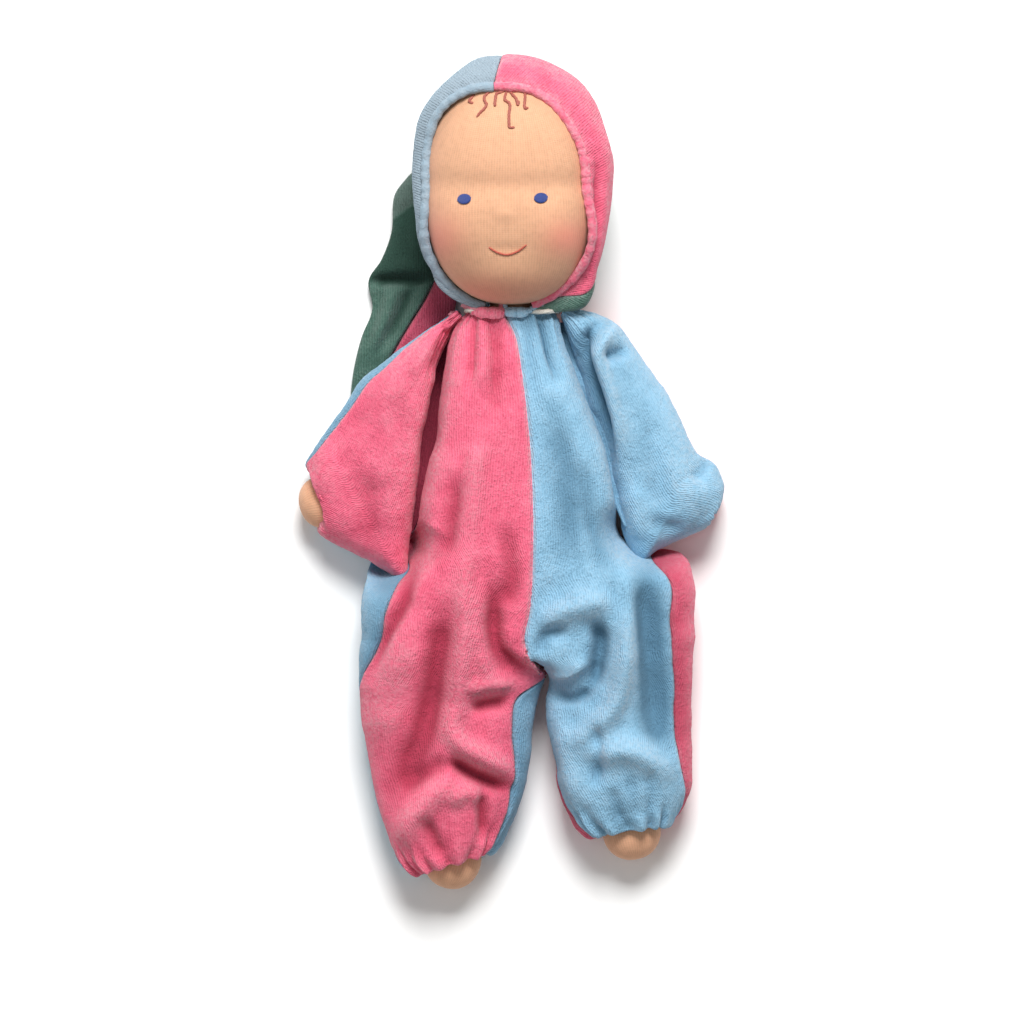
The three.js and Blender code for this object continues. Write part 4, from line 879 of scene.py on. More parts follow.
def sleeve_panel(name, rows, folds, front, material, seed, opening):
    """Half of a sleeve: an oval section swept over rows that fan out from the neck to the cuff, with its
    folds, a gathered cuff drawn back over the hand by the opening, and a seam drawn in along its
    edges."""
    table = spline(rows, 170)
    grid = panel_grid(oval_rows(table), table[:, 6:8], front, 84, folds)
    place, run = grid.place, grid.run
    gathers = SLEEVE_PLEAT * pleats(grid, 0.6, 2, 8, 8.0, seed) * np.exp(-place / 0.1)
    gathers = gathers + CUFF_PLEAT * pleats(grid, 0.42, 2, 8, 8.0, seed + 1) * ease((place - 0.88) / 0.1)
    lift = grid.lift + gathers * grid.inland
    lift = lift - CUFF_FALL * ease((place - 0.965) / 0.035) ** 2
    lift = crumpled(lift, grid.x, grid.y, seed + 2, (0.6, 14), (0.35, 6), *BUMPS)
    dip = 0.6 * bpy.context.scene.doll_sizes.seam_dip * bell(grid.edge, 1.0 * MM)
    points = grid.points + grid.normal * (lift - dip)[..., None]
    back = grid.middle[-25, 0] - grid.middle[-1, 0]
    back /= np.linalg.norm(back)
    draw = opening * np.abs(np.sin(grid.theta)) ** 1.5 * ease((place - 0.86) / 0.14)
    points = points + back * draw[..., None]
    low_edge = bell(run, 2.4 * MM) * ease((place - 0.55) / 0.1) if front else 0
    # Frost along the seams, the cuff and the front's lower edge, and painted highlight on the ridges.
    frost = 0.7 * bell(grid.edge, 1.4 * MM) + bell(1 - place, 0.03) + low_edge
    frost = np.clip(frost + np.clip(lift / (8 * MM), 0, 0.4), 0, 1)
    # Painted shade in the valleys, and on the back along its outer rim, which faces sideways.
    hollow = -lift / (6 * MM)
    if not front:
        hollow = hollow + 0.55 * bell(run, 10 * MM)
    return panel_piece(name, grid, points, frost, np.clip(hollow, 0, 0.9), material)


class DOLL_OT_sleeves(bpy.types.Operator):
    """Front and back of each sleeve, the strip under each arm and the gathered bundle at each shoulder"""
    bl_idname = "doll.sleeves"
    bl_label = "Sleeves"

    def execute(self, context):
        # The last number is the painted shade of the strip under the arm.
        for side, rows, folds, strip, seed, opening, shade in (
                ("left", LEFT_SLEEVE, LEFT_SLEEVE_FOLDS, LEFT_UNDERARM, 50, 5.0, 0.9),
                ("right", RIGHT_SLEEVE, RIGHT_SLEEVE_FOLDS, RIGHT_UNDERARM, 60, 0.0, 0.45)):
            for half in ("front", "back"):
                name, slot = f"sleeve_panel_{half}_{side}", suit_slot(half, side)
                material = finish_of(slot)
                piece = sleeve_panel(name, rows, folds, half == "front", material, seed, opening * MM)
                dressed(piece, f"{side}_arm", slot, f"{side}_sleeve_{half}")
            slot = suit_slot("front", side)
            dressed(underarm(f"underarm_strip_{side}", strip, shade, finish_of(slot)), f"{side}_arm", slot)
            low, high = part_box(f"{side}_shoulder_gather")
            bundle = shoulder_bundle(f"shoulder_bundle_{side}", low, high, finish_of(slot))
            dressed(bundle, f"{side}_shoulder", slot, f"{side}_shoulder_gather")
        return {"FINISHED"}


def shoulder_bundle(name, low, high, material):
    """A bundle of gathered cloth: an upright oval whose radius rises and falls in pleats round it."""
    centre, half = (np.array(low) + np.array(high)) / 2, (np.array(high) - np.array(low)) / 2
    tilt = np.linspace(0.03, math.pi - 0.03, 40)[:, None]
    angle = np.linspace(0, 2 * math.pi, 72, endpoint=False)[None, :]
    reach = np.sin(tilt) * (1 - 0.09 + 0.09 * np.cos(9 * angle + 2 * np.cos(tilt)))
    rings = np.stack(np.broadcast_arrays(
        centre[0] + half[0] * reach * np.cos(angle),
        centre[1] + half[1] * reach * np.sin(angle),
        centre[2] - half[2] * np.cos(tilt)), axis=-1)
    points, faces = closed_mesh(rings)
    return add_piece(name, points, faces, material, points[:, [0, 2]])


# Stuffed hands and feet

STEM_RADIUS = 5.6 * MM
HAND_BLUSH = 0.03
THREAD_RADIUS, THREAD_PITCH = 0.55 * MM, 2.4 * MM


def stuffed_ball(name, centre, half, turn, material):
    """A hand or foot: a ball drawn out to a stem where it is tied, its radius the half width times the
    sine of an angle, with fine gathers towards the stem."""
    angle = np.linspace(0.02, math.pi * 0.82, 70)[:, None]
    around = np.linspace(0, 2 * math.pi, 90, endpoint=False)[None, :]
    gather = ease((angle / math.pi - 0.55) / 0.3)
    reach = np.sin(angle) ** 0.92 * (1 - 0.035 * gather * (1 + np.sin(17 * around)))
    reach = np.maximum(reach, np.where(angle > math.pi / 2, STEM_RADIUS / half[0], 0))
    lengthwise = np.where(angle < math.pi / 2, 1, 1.25)
    across = half[0] * reach * np.cos(around)
    along = -half[1] * lengthwise * np.cos(angle) + 0 * around
    height = half[2] * reach * np.sin(around)
    c, s = math.cos(turn), math.sin(turn)
    rings = np.stack([centre[0] + c * across - s * along, centre[1] + s * across + c * along,
                      np.maximum(centre[2] + height, 0.4 * MM)], axis=-1)
    points, faces = closed_mesh(rings)
    uv = with_ends(*np.broadcast_arrays(around * half[0], angle * half[1]))
    return add_piece(name, points, faces, material, uv, {"blush": np.full(len(points), HAND_BLUSH)})


class DOLL_OT_limbs(bpy.types.Operator):
    """Stuffed hands and feet of tricot, with the threads that tie them"""
    bl_idname = "doll.limbs"
    bl_label = "Hands and feet"

    def execute(self, context):
        balls = [
            ("left_hand", "left_arm", (-81.6, -11.6, 12.8), (11.2, 9.6, 10.4), 105),
            ("right_hand", "right_arm", (79.6, -13.4, 14.8), (9.8, 9.0, 9.8), 237),
            ("left_foot", "left_leg", (-24.8, -166.4, 13.4), (12.4, 12.6, 10.8), 165),
            ("right_foot", "right_leg", (52.8, -154.2, 13.4), (12.6, 12.2, 10.8), 189),
        ]
        for name, body, centre, half, degrees in balls:
            middle, reach, turn = np.array(centre) * MM, np.array(half) * MM, math.radians(degrees - 180)
            ball = stuffed_ball(f"{name}_ball", middle, reach, turn, finish_of("tricot_skin"))
            dressed(ball, body, "tricot_skin", name)
        for limb, tied in (("arm", "wrist"), ("leg", "ankle")):
            for side in ("left", "right"):
                node = f"{side}_{tied}_thread"
                dressed(ring_thread(node), f"{side}_{limb}", "cord_ivory", node)
        return {"FINISHED"}


def ring_thread(node):
    """A twisted thread round a limb: a closed oval through the middle of the node's own ring, along the
    two directions in which that ring is widest."""
    points = points_of(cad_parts[node].data)
    centre = (points.max(axis=0) + points.min(axis=0)) / 2
    offsets = points - points.mean(axis=0)
    _, _, axes = np.linalg.svd(offsets, full_matrices=False)
    half_across, half_up = (np.abs(offsets @ axis).max() - THREAD_RADIUS for axis in axes[:2])
    angle = np.linspace(0, 2 * math.pi, 96, endpoint=False)[:, None]
    path = centre + half_across * np.cos(angle) * axes[0] + half_up * np.sin(angle) * axes[1]
    material = finish_of("cord_ivory")
    return thread_loop(f"{node}_winding", path, THREAD_RADIUS, 10, 3, THREAD_PITCH, material)


# The head

HEAD_CENTRE = np.array([0.53, 125.65, 40.3]) * MM
HEAD_HALF = np.array([38.8, 52.0, 37.7]) * MM
HEAD_SQUARENESS = 2.25
NECK_POINT = np.array([1.03, 74.85, 29.0]) * MM
NECK_RADIUS, NECK_REACH = 10.7 * MM, 51 * MM  # the head's opening, and its distance from the head's middle
CORE_GAP, EYE_THREAD_DEPTH = 2.6 * MM, 2.2 * MM  # below the inner face of the tricot


def head_surface(direction, outset=0.0):
    """The point of the squared ball in a direction from its middle: the radius at which the three shares
    of the half sizes, each to the squareness, add up to one."""
    half = HEAD_HALF + outset
    reach = np.sum(np.abs(direction / half) ** HEAD_SQUARENESS, axis=-1, keepdims=True)
    return HEAD_CENTRE + direction * reach ** (-1 / HEAD_SQUARENESS)


def ball_height(x, y):
    """Height of the plain ball's front above a place in plan."""
    rest = 1
    for value, centre, half in zip((x, y), HEAD_CENTRE, HEAD_HALF):
        rest = rest - np.abs((value - centre) / half) ** HEAD_SQUARENESS
    return HEAD_CENTRE[2] + HEAD_HALF[2] * np.maximum(rest, 0) ** (1 / HEAD_SQUARENESS)


def face_height(x, y):
    """Height of the head's front above a place in plan."""
    return ball_height(x, y) + face_relief(x, y)


# Forms of the face: the place in plan, the half width, the half height and the amount, all in millimetres.
FACE_FORMS = [
    (-2.0, 148.0, 27.0, 14.0, 1.0),
    (-24.0, 106.0, 12.0, 12.0, 2.2),
    (20.0, 106.0, 12.0, 12.0, 2.4),
    (-1.8, 112.0, 3.4, 2.8, 0.8),
    (-1.0, 84.0, 12.0, 8.0, 1.4),
    (-19.7, 119.6, 5.0, 3.4, -0.7),
    (13.3, 119.6, 5.0, 3.4, -0.7),
    (-1.5, 97.4, 9.0, 2.4, -0.5),
]
# Blush of the cheeks and under the chin: place, half width and half height in millimetres, and strength.
BLUSH = [
    (-31, 101, 10, 11, 0.7),
    (25, 101.5, 10, 8, 0.72),
    (-14, 79, 16, 7, 0.45),
    (16, 80, 14, 6, 0.2),
    (-36, 125, 5, 30, 0.15),
]
EYE_LINE, EYE_LINE_BEND, EYE_LINE_DEPTH, EYE_LINE_WIDTH = 124.0 * MM, 1.6, -1.7 * MM, 5.4 * MM


def face_relief(x, y):
    """Height of the face's forms over the plain ball: a sum of soft round bumps and dents, and one soft
    crease right across the face where the thread ties the eye line."""
    line = EYE_LINE + EYE_LINE_BEND * (x - HEAD_CENTRE[0]) ** 2
    relief = EYE_LINE_DEPTH * bell(y - line, EYE_LINE_WIDTH)
    for *form, amount in FACE_FORMS:
        relief = relief + amount * MM * plan_bell(x, y, *form)
    return relief


def cheek_colour(x, y):
    """How much blush lies at a place: the sum of the soft round patches."""
    return np.clip(sum(strength * plan_bell(x, y, *spot) for *spot, strength in BLUSH), 0, 0.85)


def head_grid(outset, rows=150, columns=200):
    """The squared ball in rows from the crown to the neck's opening, with the angles along and around."""
    pole = NECK_POINT - HEAD_CENTRE
    pole /= np.linalg.norm(pole)
    side = np.array([1.0, 0, 0])
    front = np.cross(side, -pole)
    front /= np.linalg.norm(front)
    hole = math.atan(NECK_RADIUS / NECK_REACH)
    polar = np.linspace(0.02, math.pi - hole, rows)[:, None]
    around = np.linspace(-math.pi, math.pi, columns, endpoint=False)[None, :]
    direction = (-pole * np.cos(polar)[..., None] + side * (np.sin(polar) * np.sin(around))[..., None]
                 + front * (np.sin(polar) * np.cos(around))[..., None])
    return head_surface(direction, outset), polar, around


class DOLL_OT_head(bpy.types.Operator):
    """Face and head of tricot over a wool ball, with the thread that ties the eye line"""
    bl_idname = "doll.head"
    bl_label = "Head"

    def execute(self, context):
        sizes = context.scene.doll_sizes
        points, polar, around = head_grid(0.0)
        front = ease((points[..., 2] - HEAD_CENTRE[2]) / (12 * MM))
        points[..., 2] += face_relief(points[..., 0], points[..., 1]) * front
        x, y = points[..., 0], points[..., 1]
        points[..., 2] += 0.12 * MM * noise(x, y, 9 * MM, 80) * front
        blush = cheek_colour(x, y) * front
        inner, _, _ = head_grid(-sizes.tricot)
        inner[..., 2] += face_relief(x, y) * front
        rows, columns, _ = points.shape
        count = rows * columns
        number = np.arange(count).reshape(rows, columns)
        rim, following = number[-1], np.roll(number[-1], -1)
        faces = np.concatenate([
            grid_faces(rows, columns, wrap=True),
            grid_faces(rows, columns, count, wrap=True)[:, ::-1],
            np.stack([rim, following, following + count, rim + count], axis=-1)]).tolist()
        faces += fan(2 * count, number[0])
        faces += [face[::-1] for face in fan(2 * count + 1, number[0] + count)]
        both = np.concatenate([points.reshape(-1, 3), inner.reshape(-1, 3),
                               [points[0].mean(axis=0), inner[0].mean(axis=0)]])
        grids = np.broadcast_arrays(around * HEAD_HALF[0], polar * HEAD_HALF[1], blush)
        u, v, rouge = with_ends(*(np.tile(grid.ravel(), 2) for grid in grids)).T
        uv = np.column_stack([u, v])
        skin = add_piece("face_and_head_skin", both, faces, finish_of("tricot_skin"), uv, {"blush": rouge})
        dressed(skin, "head", "tricot_skin", "head_skin")
        core, _, _ = head_grid(-(sizes.tricot + CORE_GAP), 60, 90)
        ball = add_piece("wool_ball", *closed_mesh(core), finish_of("wool_fill"))
        dressed(ball, "head", "wool_fill", "head_core")
        line, _, _ = head_grid(-(sizes.tricot + EYE_THREAD_DEPTH), 151, 200)
        thread = thread_loop("eye_line_tie", line[75], 0.4 * MM, 8, 2, 3 * MM, finish_of("cord_ivory"))
        dressed(thread, "head", "cord_ivory", "eye_line_thread")
        return {"FINISHED"}


# The hood. Its outline and that of the face are places in plan, in millimetres.

HOOD_OUTLINE = [
    (-2.9, 181.3), (7.9, 180.4), (17.4, 177.4), (28.7, 171.4), (35.1, 163.6), (39.5, 153.6),
    (43.4, 142.0), (44.6, 134.2), (44.2, 126.4), (43.1, 114.7), (41.6, 104.8), (39.8, 95.7),
    (37.6, 88.0), (35.6, 78.0), (31.5, 72.0), (22.0, 70.5), (8.0, 70.0), (-8.0, 71.0),
    (-20.4, 75.0), (-27.4, 79.5), (-30.9, 83.3), (-33.3, 88.8), (-36.6, 94.0), (-39.4, 103.5),
    (-40.0, 110.8), (-41.1, 122.5), (-41.6, 130.3), (-40.4, 142.0), (-38.8, 153.6), (-34.4, 161.8),
    (-28.4, 168.8), (-20.6, 175.2), (-12.8, 179.7), (-2.9, 181.3),
]
FACE_OUTLINE = [
    (-4.0, 166.0), (8.0, 164.6), (17.9, 158.6), (27.0, 146.0), (30.8, 134.2), (31.9, 121.6),
    (34.0, 110.8), (34.4, 103.5), (32.6, 95.7), (28.0, 87.9), (19.6, 80.2), (9.6, 75.0),
    (-2.0, 73.0), (-12.8, 75.0), (-21.9, 80.2), (-29.4, 87.9), (-33.6, 95.7), (-35.2, 100.9),
    (-35.8, 107.4), (-35.2, 114.3), (-34.6, 121.6), (-34.8, 130.0), (-34.0, 142.0), (-31.3, 152.0),
    (-25.7, 159.4), (-16.0, 164.8), (-4.0, 166.0),
]


def outline_radius(outline, angle):
    """Distance from the head's middle to a smooth outline, at angles that run clockwise from the crown."""
    line = spline(np.array(outline) * MM, 12 * len(outline)) - HEAD_CENTRE[:2]
    turn, radius = np.arctan2(line[:, 0], line[:, 1]), np.hypot(line[:, 0], line[:, 1])
    order = np.argsort(turn)
    return np.interp(angle, turn[order], radius[order], period=2 * math.pi)


# Angles round the head, clockwise from the crown: both ends of the hood at the neck, and the seams at the
# top and over the lower gore, each at the hem and at the outline.
HOOD_LEFT_END, HOOD_RIGHT_END = math.radians(-168), math.radians(170)
TOP_HEM, TOP_OUT, GORE_HEM, GORE_OUT = (math.radians(d) for d in (-10, -3.5, 161, 138))
BACK_SEAM_TILT = math.radians(103)  # where the hood's front panels meet its back panels, from straight up
BACK_END_TILT = math.radians(177)  # where the back panels end, behind the head
CHEEK_ANGLE, CHEEK_SPREAD = math.radians(108), math.radians(30)  # of the loose fold at the cheek
HEM_RADIUS = 2.0 * MM
HOOD_RADIUS = 45 * MM  # mean distance of the hood from the head's middle, to turn angles into lengths
HOOD_RISE = 2.8 * MM  # of the cloth over the ball at the hem
PANEL_MARGIN = 2.2 * MM  # least width of a panel, and its distance from the face's outline
PUCKER, HOOD_SWELL = 0.35 * MM, 1.0 * MM  # heights of the gathers at the hem and of the bulge behind them
HOOD_DIP = 0.6 * MM


def edge_height(angle, outset):
    """Height of the hood's edge round the face: that of the ball there, or where that is higher the mean
    over a sixth of a turn of the greatest height within 20 degrees, so the edge falls off smoothly over
    the cheek."""
    turn = np.radians(np.arange(-230, 231.0))
    radius = outline_radius(FACE_OUTLINE, turn) + outset
    radius = np.minimum(radius, outline_radius(HOOD_OUTLINE, turn) - PANEL_MARGIN)
    height = ball_height(HEAD_CENTRE[0] + radius * np.sin(turn), HEAD_CENTRE[1] + radius * np.cos(turn))
    near = np.lib.stride_tricks.sliding_window_view(np.pad(height, 20, mode="edge"), 41).max(axis=-1)
    window = np.hanning(61) / np.hanning(61).sum()
    smooth = np.convolve(np.pad(near, 30, mode="edge"), window, mode="valid")
    return np.interp(angle, turn, np.maximum(height, smooth))


def hood_panel(name, first, last, front, material, seed, faded, groove):
    """A part of the hood between two seams, each given by its angle at the face and at the outline. The
    front bulges from the hem to the outline along a quarter of a squared oval; the back runs under to the
    middle of the back of the head along another. A groove beside the hem gives the loose fold at the
    cheek."""
    columns = 160 if front else 150
    place = np.linspace(0, 1, 80)[:, None]
    tilt = mix(0.0, BACK_SEAM_TILT, place) if front else mix(BACK_SEAM_TILT, BACK_END_TILT, place)
    bend = np.abs(np.sin(tilt)) ** (2 / HEAD_SQUARENESS)
    slant = np.where(tilt < math.pi / 2, bend, 1.0)
    ends = [mix(seam[0], seam[1], slant) for seam in (first, last)]
    angle = mix(ends[0], ends[1], np.linspace(0, 1, columns)[None, :])
    outer = outline_radius(HOOD_OUTLINE, angle)
    face = np.minimum(outline_radius(FACE_OUTLINE, angle) + PANEL_MARGIN, outer - PANEL_MARGIN)
    rise = edge_height(angle, PANEL_MARGIN) - HEAD_CENTRE[2] + HOOD_RISE
    reach = np.where(tilt < math.pi / 2, mix(face, outer, bend), outer * bend)
    semi = np.where(tilt < math.pi / 2, rise, HEAD_CENTRE[2] - 0.4 * MM)
    z = HEAD_CENTRE[2] + semi * signed_power(np.cos(tilt), 2 / HEAD_SQUARENESS)
    spread = angle * mix(1.0, 1.06, ease((tilt - 1.9) / 0.8))
    points = np.stack(np.broadcast_arrays(HEAD_CENTRE[0] + reach * np.sin(spread),
                                          HEAD_CENTRE[1] + reach * np.cos(spread), z), axis=-1)
    run, arch = angle * HOOD_RADIUS, np.sin(math.pi * place)
    if front:
        pucker = np.sin(run / (1.5 * MM) + 2 * noise(run, 0 * run, 9 * MM, seed))
        lift = PUCKER * pucker * np.exp(-place / 0.2) + HOOD_SWELL * arch ** 2
        lift = lift + 0.9 * MM * noise(run, place * 30 * MM, 13 * MM, seed + 1) * arch
        cheek = bell(angle - CHEEK_ANGLE, CHEEK_SPREAD)
        groove = groove * np.clip((outer - face) / (10 * MM), 0, 1) ** 2
        lift = lift - groove * cheek * bell(place - 0.2, 0.1)
        lift = lift + 0.4 * groove * cheek * bell(place - 0.42, 0.12)
    else:
        lift = 0.5 * MM * noise(run, place * 60 * MM, 14 * MM, seed + 1) * arch
    lift = crumpled(lift, run, place * 50 * MM, seed + 2, (0.1, 0.9))
    inside = np.broadcast_to(HEAD_CENTRE, points.shape)
    edge = np.minimum(np.abs(angle - ends[0]), np.abs(ends[1] - angle)) * outer
    dip = HOOD_DIP * bell(edge, 1.0 * MM)
    points = points + grid_normals(points, inside) * (lift - dip)[..., None]
    points[..., 2] = np.maximum(points[..., 2], LOWEST)
    # Frost along the seams and near the front's hem, partly painted sheen.
    frost = np.clip(0.6 * bell(edge, 1.4 * MM) + 0.6 * bell(place, 0.1) * front, 0, 1)
    # Painted shade in the valleys; the last value greys and darkens a whole panel as painted shade.
    hollow = np.clip(-lift / (3.5 * MM), 0, 0.85)
    thickness = bpy.context.scene.doll_sizes.velour * 0.8
    values = {"frost": frost, "hollow": hollow, "faded": np.full(points.shape[:2], faded)}
    return cloth_piece(name, points, thickness, inside, material, values)


def hood_hem(name, first, last, material, seed, faded):
    """The rolled hem at the face: a tube along the face's outline whose radius swells between its
    stitches."""
    count = int(abs(last - first) / math.radians(0.8))
    angle = np.linspace(first, last, count)
    radius = outline_radius(FACE_OUTLINE, angle) + 0.7 * HEM_RADIUS
    x, y = HEAD_CENTRE[0] + radius * np.sin(angle), HEAD_CENTRE[1] + radius * np.cos(angle)
    z = edge_height(angle, 0.7 * HEM_RADIUS) + 0.75 * HEM_RADIUS
    path = np.stack([x, y, z], axis=-1)
    run = angle * HOOD_RADIUS
    swell = 1 + 0.07 * np.sin(run / (0.9 * MM) + 2 * noise(run, 0 * run, 8 * MM, seed))
    swell = swell + 0.12 * noise(run, 0 * run, 5 * MM, seed + 1)
    rings = tube_rings(path, HEM_RADIUS * swell, 22)
    points, faces = closed_mesh(rings)
    along = np.broadcast_to(run[:, None], rings.shape[:2])
    # Frost all along the rolled hem, partly painted sheen.
    frost = 0.55 + 0.4 * noise(points[:, 0], points[:, 1], 2.5 * MM, seed + 2)
    values = {"frost": frost, "faded": np.full(len(points), faded)}
    return add_piece(name, points, faces, material, with_ends(0 * along, along), values)


# The hood's tip. A row has its outer and inner point in plan and its lowest and highest point.
TAIL_GREEN = [
    [-40.6, 133.0, -31.4, 133.0, 0.8, 4.0],
    [-45.0, 128.6, -31.0, 128.0, 0.8, 7.4],
    [-50.2, 120.6, -31.0, 117.0, 0.8, 9.4],
    [-51.2, 106.0, -31.2, 102.0, 0.8, 10.0],
    [-55.4, 94.0, -32.0, 88.0, 0.8, 9.6],
    [-61.2, 84.4, -36.4, 77.0, 0.8, 7.4],
    [-59.6, 72.0, -44.0, 64.6, 0.8, 8.6],
    [-64.2, 60.0, -51.2, 52.0, 0.8, 8.6],
    [-67.6, 46.0, -56.4, 40.0, 0.8, 8.0],
    [-68.8, 33.0, -61.0, 28.0, 0.8, 7.0],
    [-66.4, 22.6, -63.0, 20.6, 0.8, 4.4],
]
TAIL_PINK = [
    [-31.0, 133.0, -23.8, 132.6, 0.8, 2.8],
    [-30.6, 128.0, -22.9, 127.6, 0.8, 4.8],
    [-30.6, 117.0, -22.9, 116.0, 0.8, 5.4],
    [-30.8, 102.0, -22.9, 103.0, 0.8, 5.6],
    [-31.6, 88.0, -22.9, 89.0, 0.8, 6.6],
    [-36.0, 77.0, -22.9, 78.6, 0.8, 8.0],
    [-43.6, 64.6, -24.7, 68.0, 0.8, 8.4],
    [-50.8, 52.0, -29.7, 55.0, 0.8, 7.0],
    [-56.0, 40.0, -38.0, 42.0, 0.8, 6.4],
    [-60.6, 28.0, -48.0, 30.5, 0.8, 6.0],
    [-62.6, 20.6, -58.0, 20.6, 0.8, 3.6],
]
TAIL_FOLDS = [
    ([(-62, 83.8), (-48, 84.8), (-29, 84.4)], 2.4, -5.4),
    ([(-50, 114), (-36, 96)], 5.0, 1.6),
    ([(-46, 120), (-44, 92)], 3.0, -1.6),
    ([(-33, 84), (-41, 69), (-53, 49)], 2.4, 2.6),
    ([(-41, 86), (-47, 71), (-58, 50)], 2.8, -3.4),
    ([(-50, 84), (-53, 70), (-61, 52)], 2.8, 2.4),
    ([(-56, 84), (-58, 72), (-64, 54)], 2.4, -2.2),
]


def tail_gore(name, rows, material, seed):
    """A gore of the hood's long tip: flat ovals swept down beside the head, with its folds. Below a
    slanting line near the top it is darkened by a painted shadow of the head, strongest beside the head,
    and its valleys by painted shade; above that line its outer fold of brushed pile is greyed."""
    theta = np.tile(np.linspace(0, 2 * math.pi, 72, endpoint=False), (150, 1))
    rings = half_ring(oval_rows(spline(rows, len(theta))), theta)
    x, y = rings[..., 0], rings[..., 1]
    up = np.maximum(np.sin(theta), 0) ** 0.5
    lift = crumpled(fold_height(x, y, TAIL_FOLDS), x, y, seed, (0.5, 9))
    lift = crumpled(lift, x, y, seed, (0.15, 3))
    rings[..., 2] = np.maximum(rings[..., 2] + lift * up, 0.5 * MM)
    points, faces = closed_mesh(rings)
    cloth_map = with_ends(x, y)
    across, along = cloth_map.T
    # Above this slanting line the pile is brushed and greyed; below it lies the painted shadow of the head,
    # weaker further from the head.
    band = 119 * MM + 0.7 * (across + 42 * MM)
    head_shadow = ease((band - along) / (3 * MM)) * mix(0.45, 1.0, ease((along - 82 * MM) / (4 * MM)))
    # Painted shade in the valleys of the folds.
    valleys = with_ends(np.clip(-lift * up / (4 * MM), 0, 0.95))[:, 0]
    hollow = np.maximum(valleys, 0.95 * head_shadow)
    values = {"hollow": hollow, "faded": 0.6 * (1 - ease((band - along) / (3 * MM)))}
    return add_piece(name, points, faces, material, cloth_map, values)


class DOLL_OT_hood(bpy.types.Operator):
    """Hood of velour quarters with a rolled hem, and its long folded tip"""
    bl_idname = "doll.hood"
    bl_label = "Hood"

    def execute(self, context):
        gap = 0.08 * MM / HEAD_HALF[1]
        left, right = (HOOD_LEFT_END, HOOD_LEFT_END), (HOOD_RIGHT_END, HOOD_RIGHT_END)
        top_left, top_right = (TOP_HEM - gap, TOP_OUT - gap), (TOP_HEM + gap, TOP_OUT + gap)
        gore, below = (GORE_HEM - gap, GORE_OUT - gap), (GORE_HEM + gap, GORE_OUT + gap)
        # The number after the seed greys and darkens a quarter with painted shade: the front left one,
        # which lies in shade.
        panels = [
            ("quarter_front_left", "front_left", "blue", left, top_left, 90, 0.85, 0),
            ("quarter_front_right", "front_right", "pink", top_right, gore, 94, 0, 3.2),
            ("gore_lower_right", "gore_right", "green", below, right, 98, 0, 0),
            ("quarter_back_left", "back_left", "green", left, (-gap, -gap), 102, 0, 0),
            ("quarter_back_right", "back_right", "green", (gap, gap), right, 106, 0, 0),
        ]
        for name, node, tint, first, last, seed, faded, groove in panels:
            slot, front = f"velour_{tint}", not node.startswith("back")
            span = (first, last, front)
            piece = hood_panel(f"hood_{name}", *span, finish_of(slot), seed, faded, groove * MM)
            dressed(piece, "head", slot, f"hood_{node}")
        # The last number greys and darkens a hem with painted shade: the left one.
        for side, tint, first, last, seed, faded in (
                ("left", "blue", HOOD_LEFT_END, TOP_HEM - gap, 110, 0.7),
                ("right", "pink", TOP_HEM + gap, HOOD_RIGHT_END, 112, 0.0)):
            slot = f"velour_{tint}"
            hem = hood_hem(f"hood_hem_{side}", first, last, finish_of(slot), seed, faded)
            dressed(hem, "head", slot, f"hood_roll_{side}")
        for tint, rows, seed in (("green", TAIL_GREEN, 114), ("pink", TAIL_PINK, 116)):
            slot = f"velour_{tint}"
            piece = tail_gore(f"hood_tip_{tint}", rows, finish_of(slot), seed)
            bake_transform(piece)
            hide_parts(f"hood_tail_{tint}")
        return {"FINISHED"}


# Embroidery. Places are in plan on the face, in millimetres.

HAIR_STITCHES = {
    "hair_stitch_1": [(-15.4, 163.6), (-17.2, 161.4), (-17.2, 160.6), (-15.9, 160.1)],
    "hair_stitch_2": [(-7.2, 165.7), (-9.4, 164.4), (-10.9, 162.7), (-10.7, 160.8), (-10.0, 159.5),
                      (-10.9, 157.7), (-12.8, 155.8), (-14.1, 154.1)],
    "hair_stitch_3": [(-2.5, 165.1), (-5.1, 164.4), (-5.9, 163.6), (-6.4, 159.5), (-6.2, 158.9)],
    "hair_stitch_4": [(-1.2, 165.3), (-2.0, 163.2), (-2.0, 161.4), (-0.3, 160.1), (0.1, 158.4),
                      (-0.3, 155.4), (-0.3, 151.0), (0.1, 149.5), (1.9, 149.4)],
    "hair_stitch_5": [(-0.3, 165.7), (1.3, 163.6), (2.7, 162.0), (3.5, 159.4), (3.9, 160.8)],
    "hair_stitch_6": [(5.3, 165.3), (6.6, 164.0), (6.4, 158.2), (7.8, 157.9)],
}
MOUTH = [(-8.9, 97.9), (-5.4, 95.8), (-1.2, 94.8), (3.2, 96.1), (7.2, 98.9)]
EYES = {"left_eye": (-19.6, 118.7), "right_eye": (13.4, 119.1)}
EYE_HALF = (2.8, 2.1)
EYE_STRANDS, STRAND_RADIUS, PAD_HEIGHT = 13, 0.3 * MM, 0.5 * MM
STITCH_PITCH = 1.7 * MM


def on_face(points, outset):
    """Points in plan, in millimetres, laid on the face at a small height above it."""
    flat = np.asarray(points) * MM
    return np.column_stack([flat, face_height(flat[:, 0], flat[:, 1]) + outset])


def stitched(name, points, radius, material):
    """A line of twisted thread on the face, thinner and lower at its ends where it goes in."""
    line = spline(points, 14 * len(points))
    share = np.linspace(0, 1, len(line))
    taper = np.minimum(np.sin(math.pi * share) ** 0.35 + 0.12, 1)
    path = on_face(line, 0.0)
    path[:, 2] += radius * (1.15 * taper - 0.35)
    rings = tube_rings(path, radius * (0.55 + 0.45 * taper), 12, 3, STITCH_PITCH)
    return add_piece(name, *closed_mesh(rings), material)


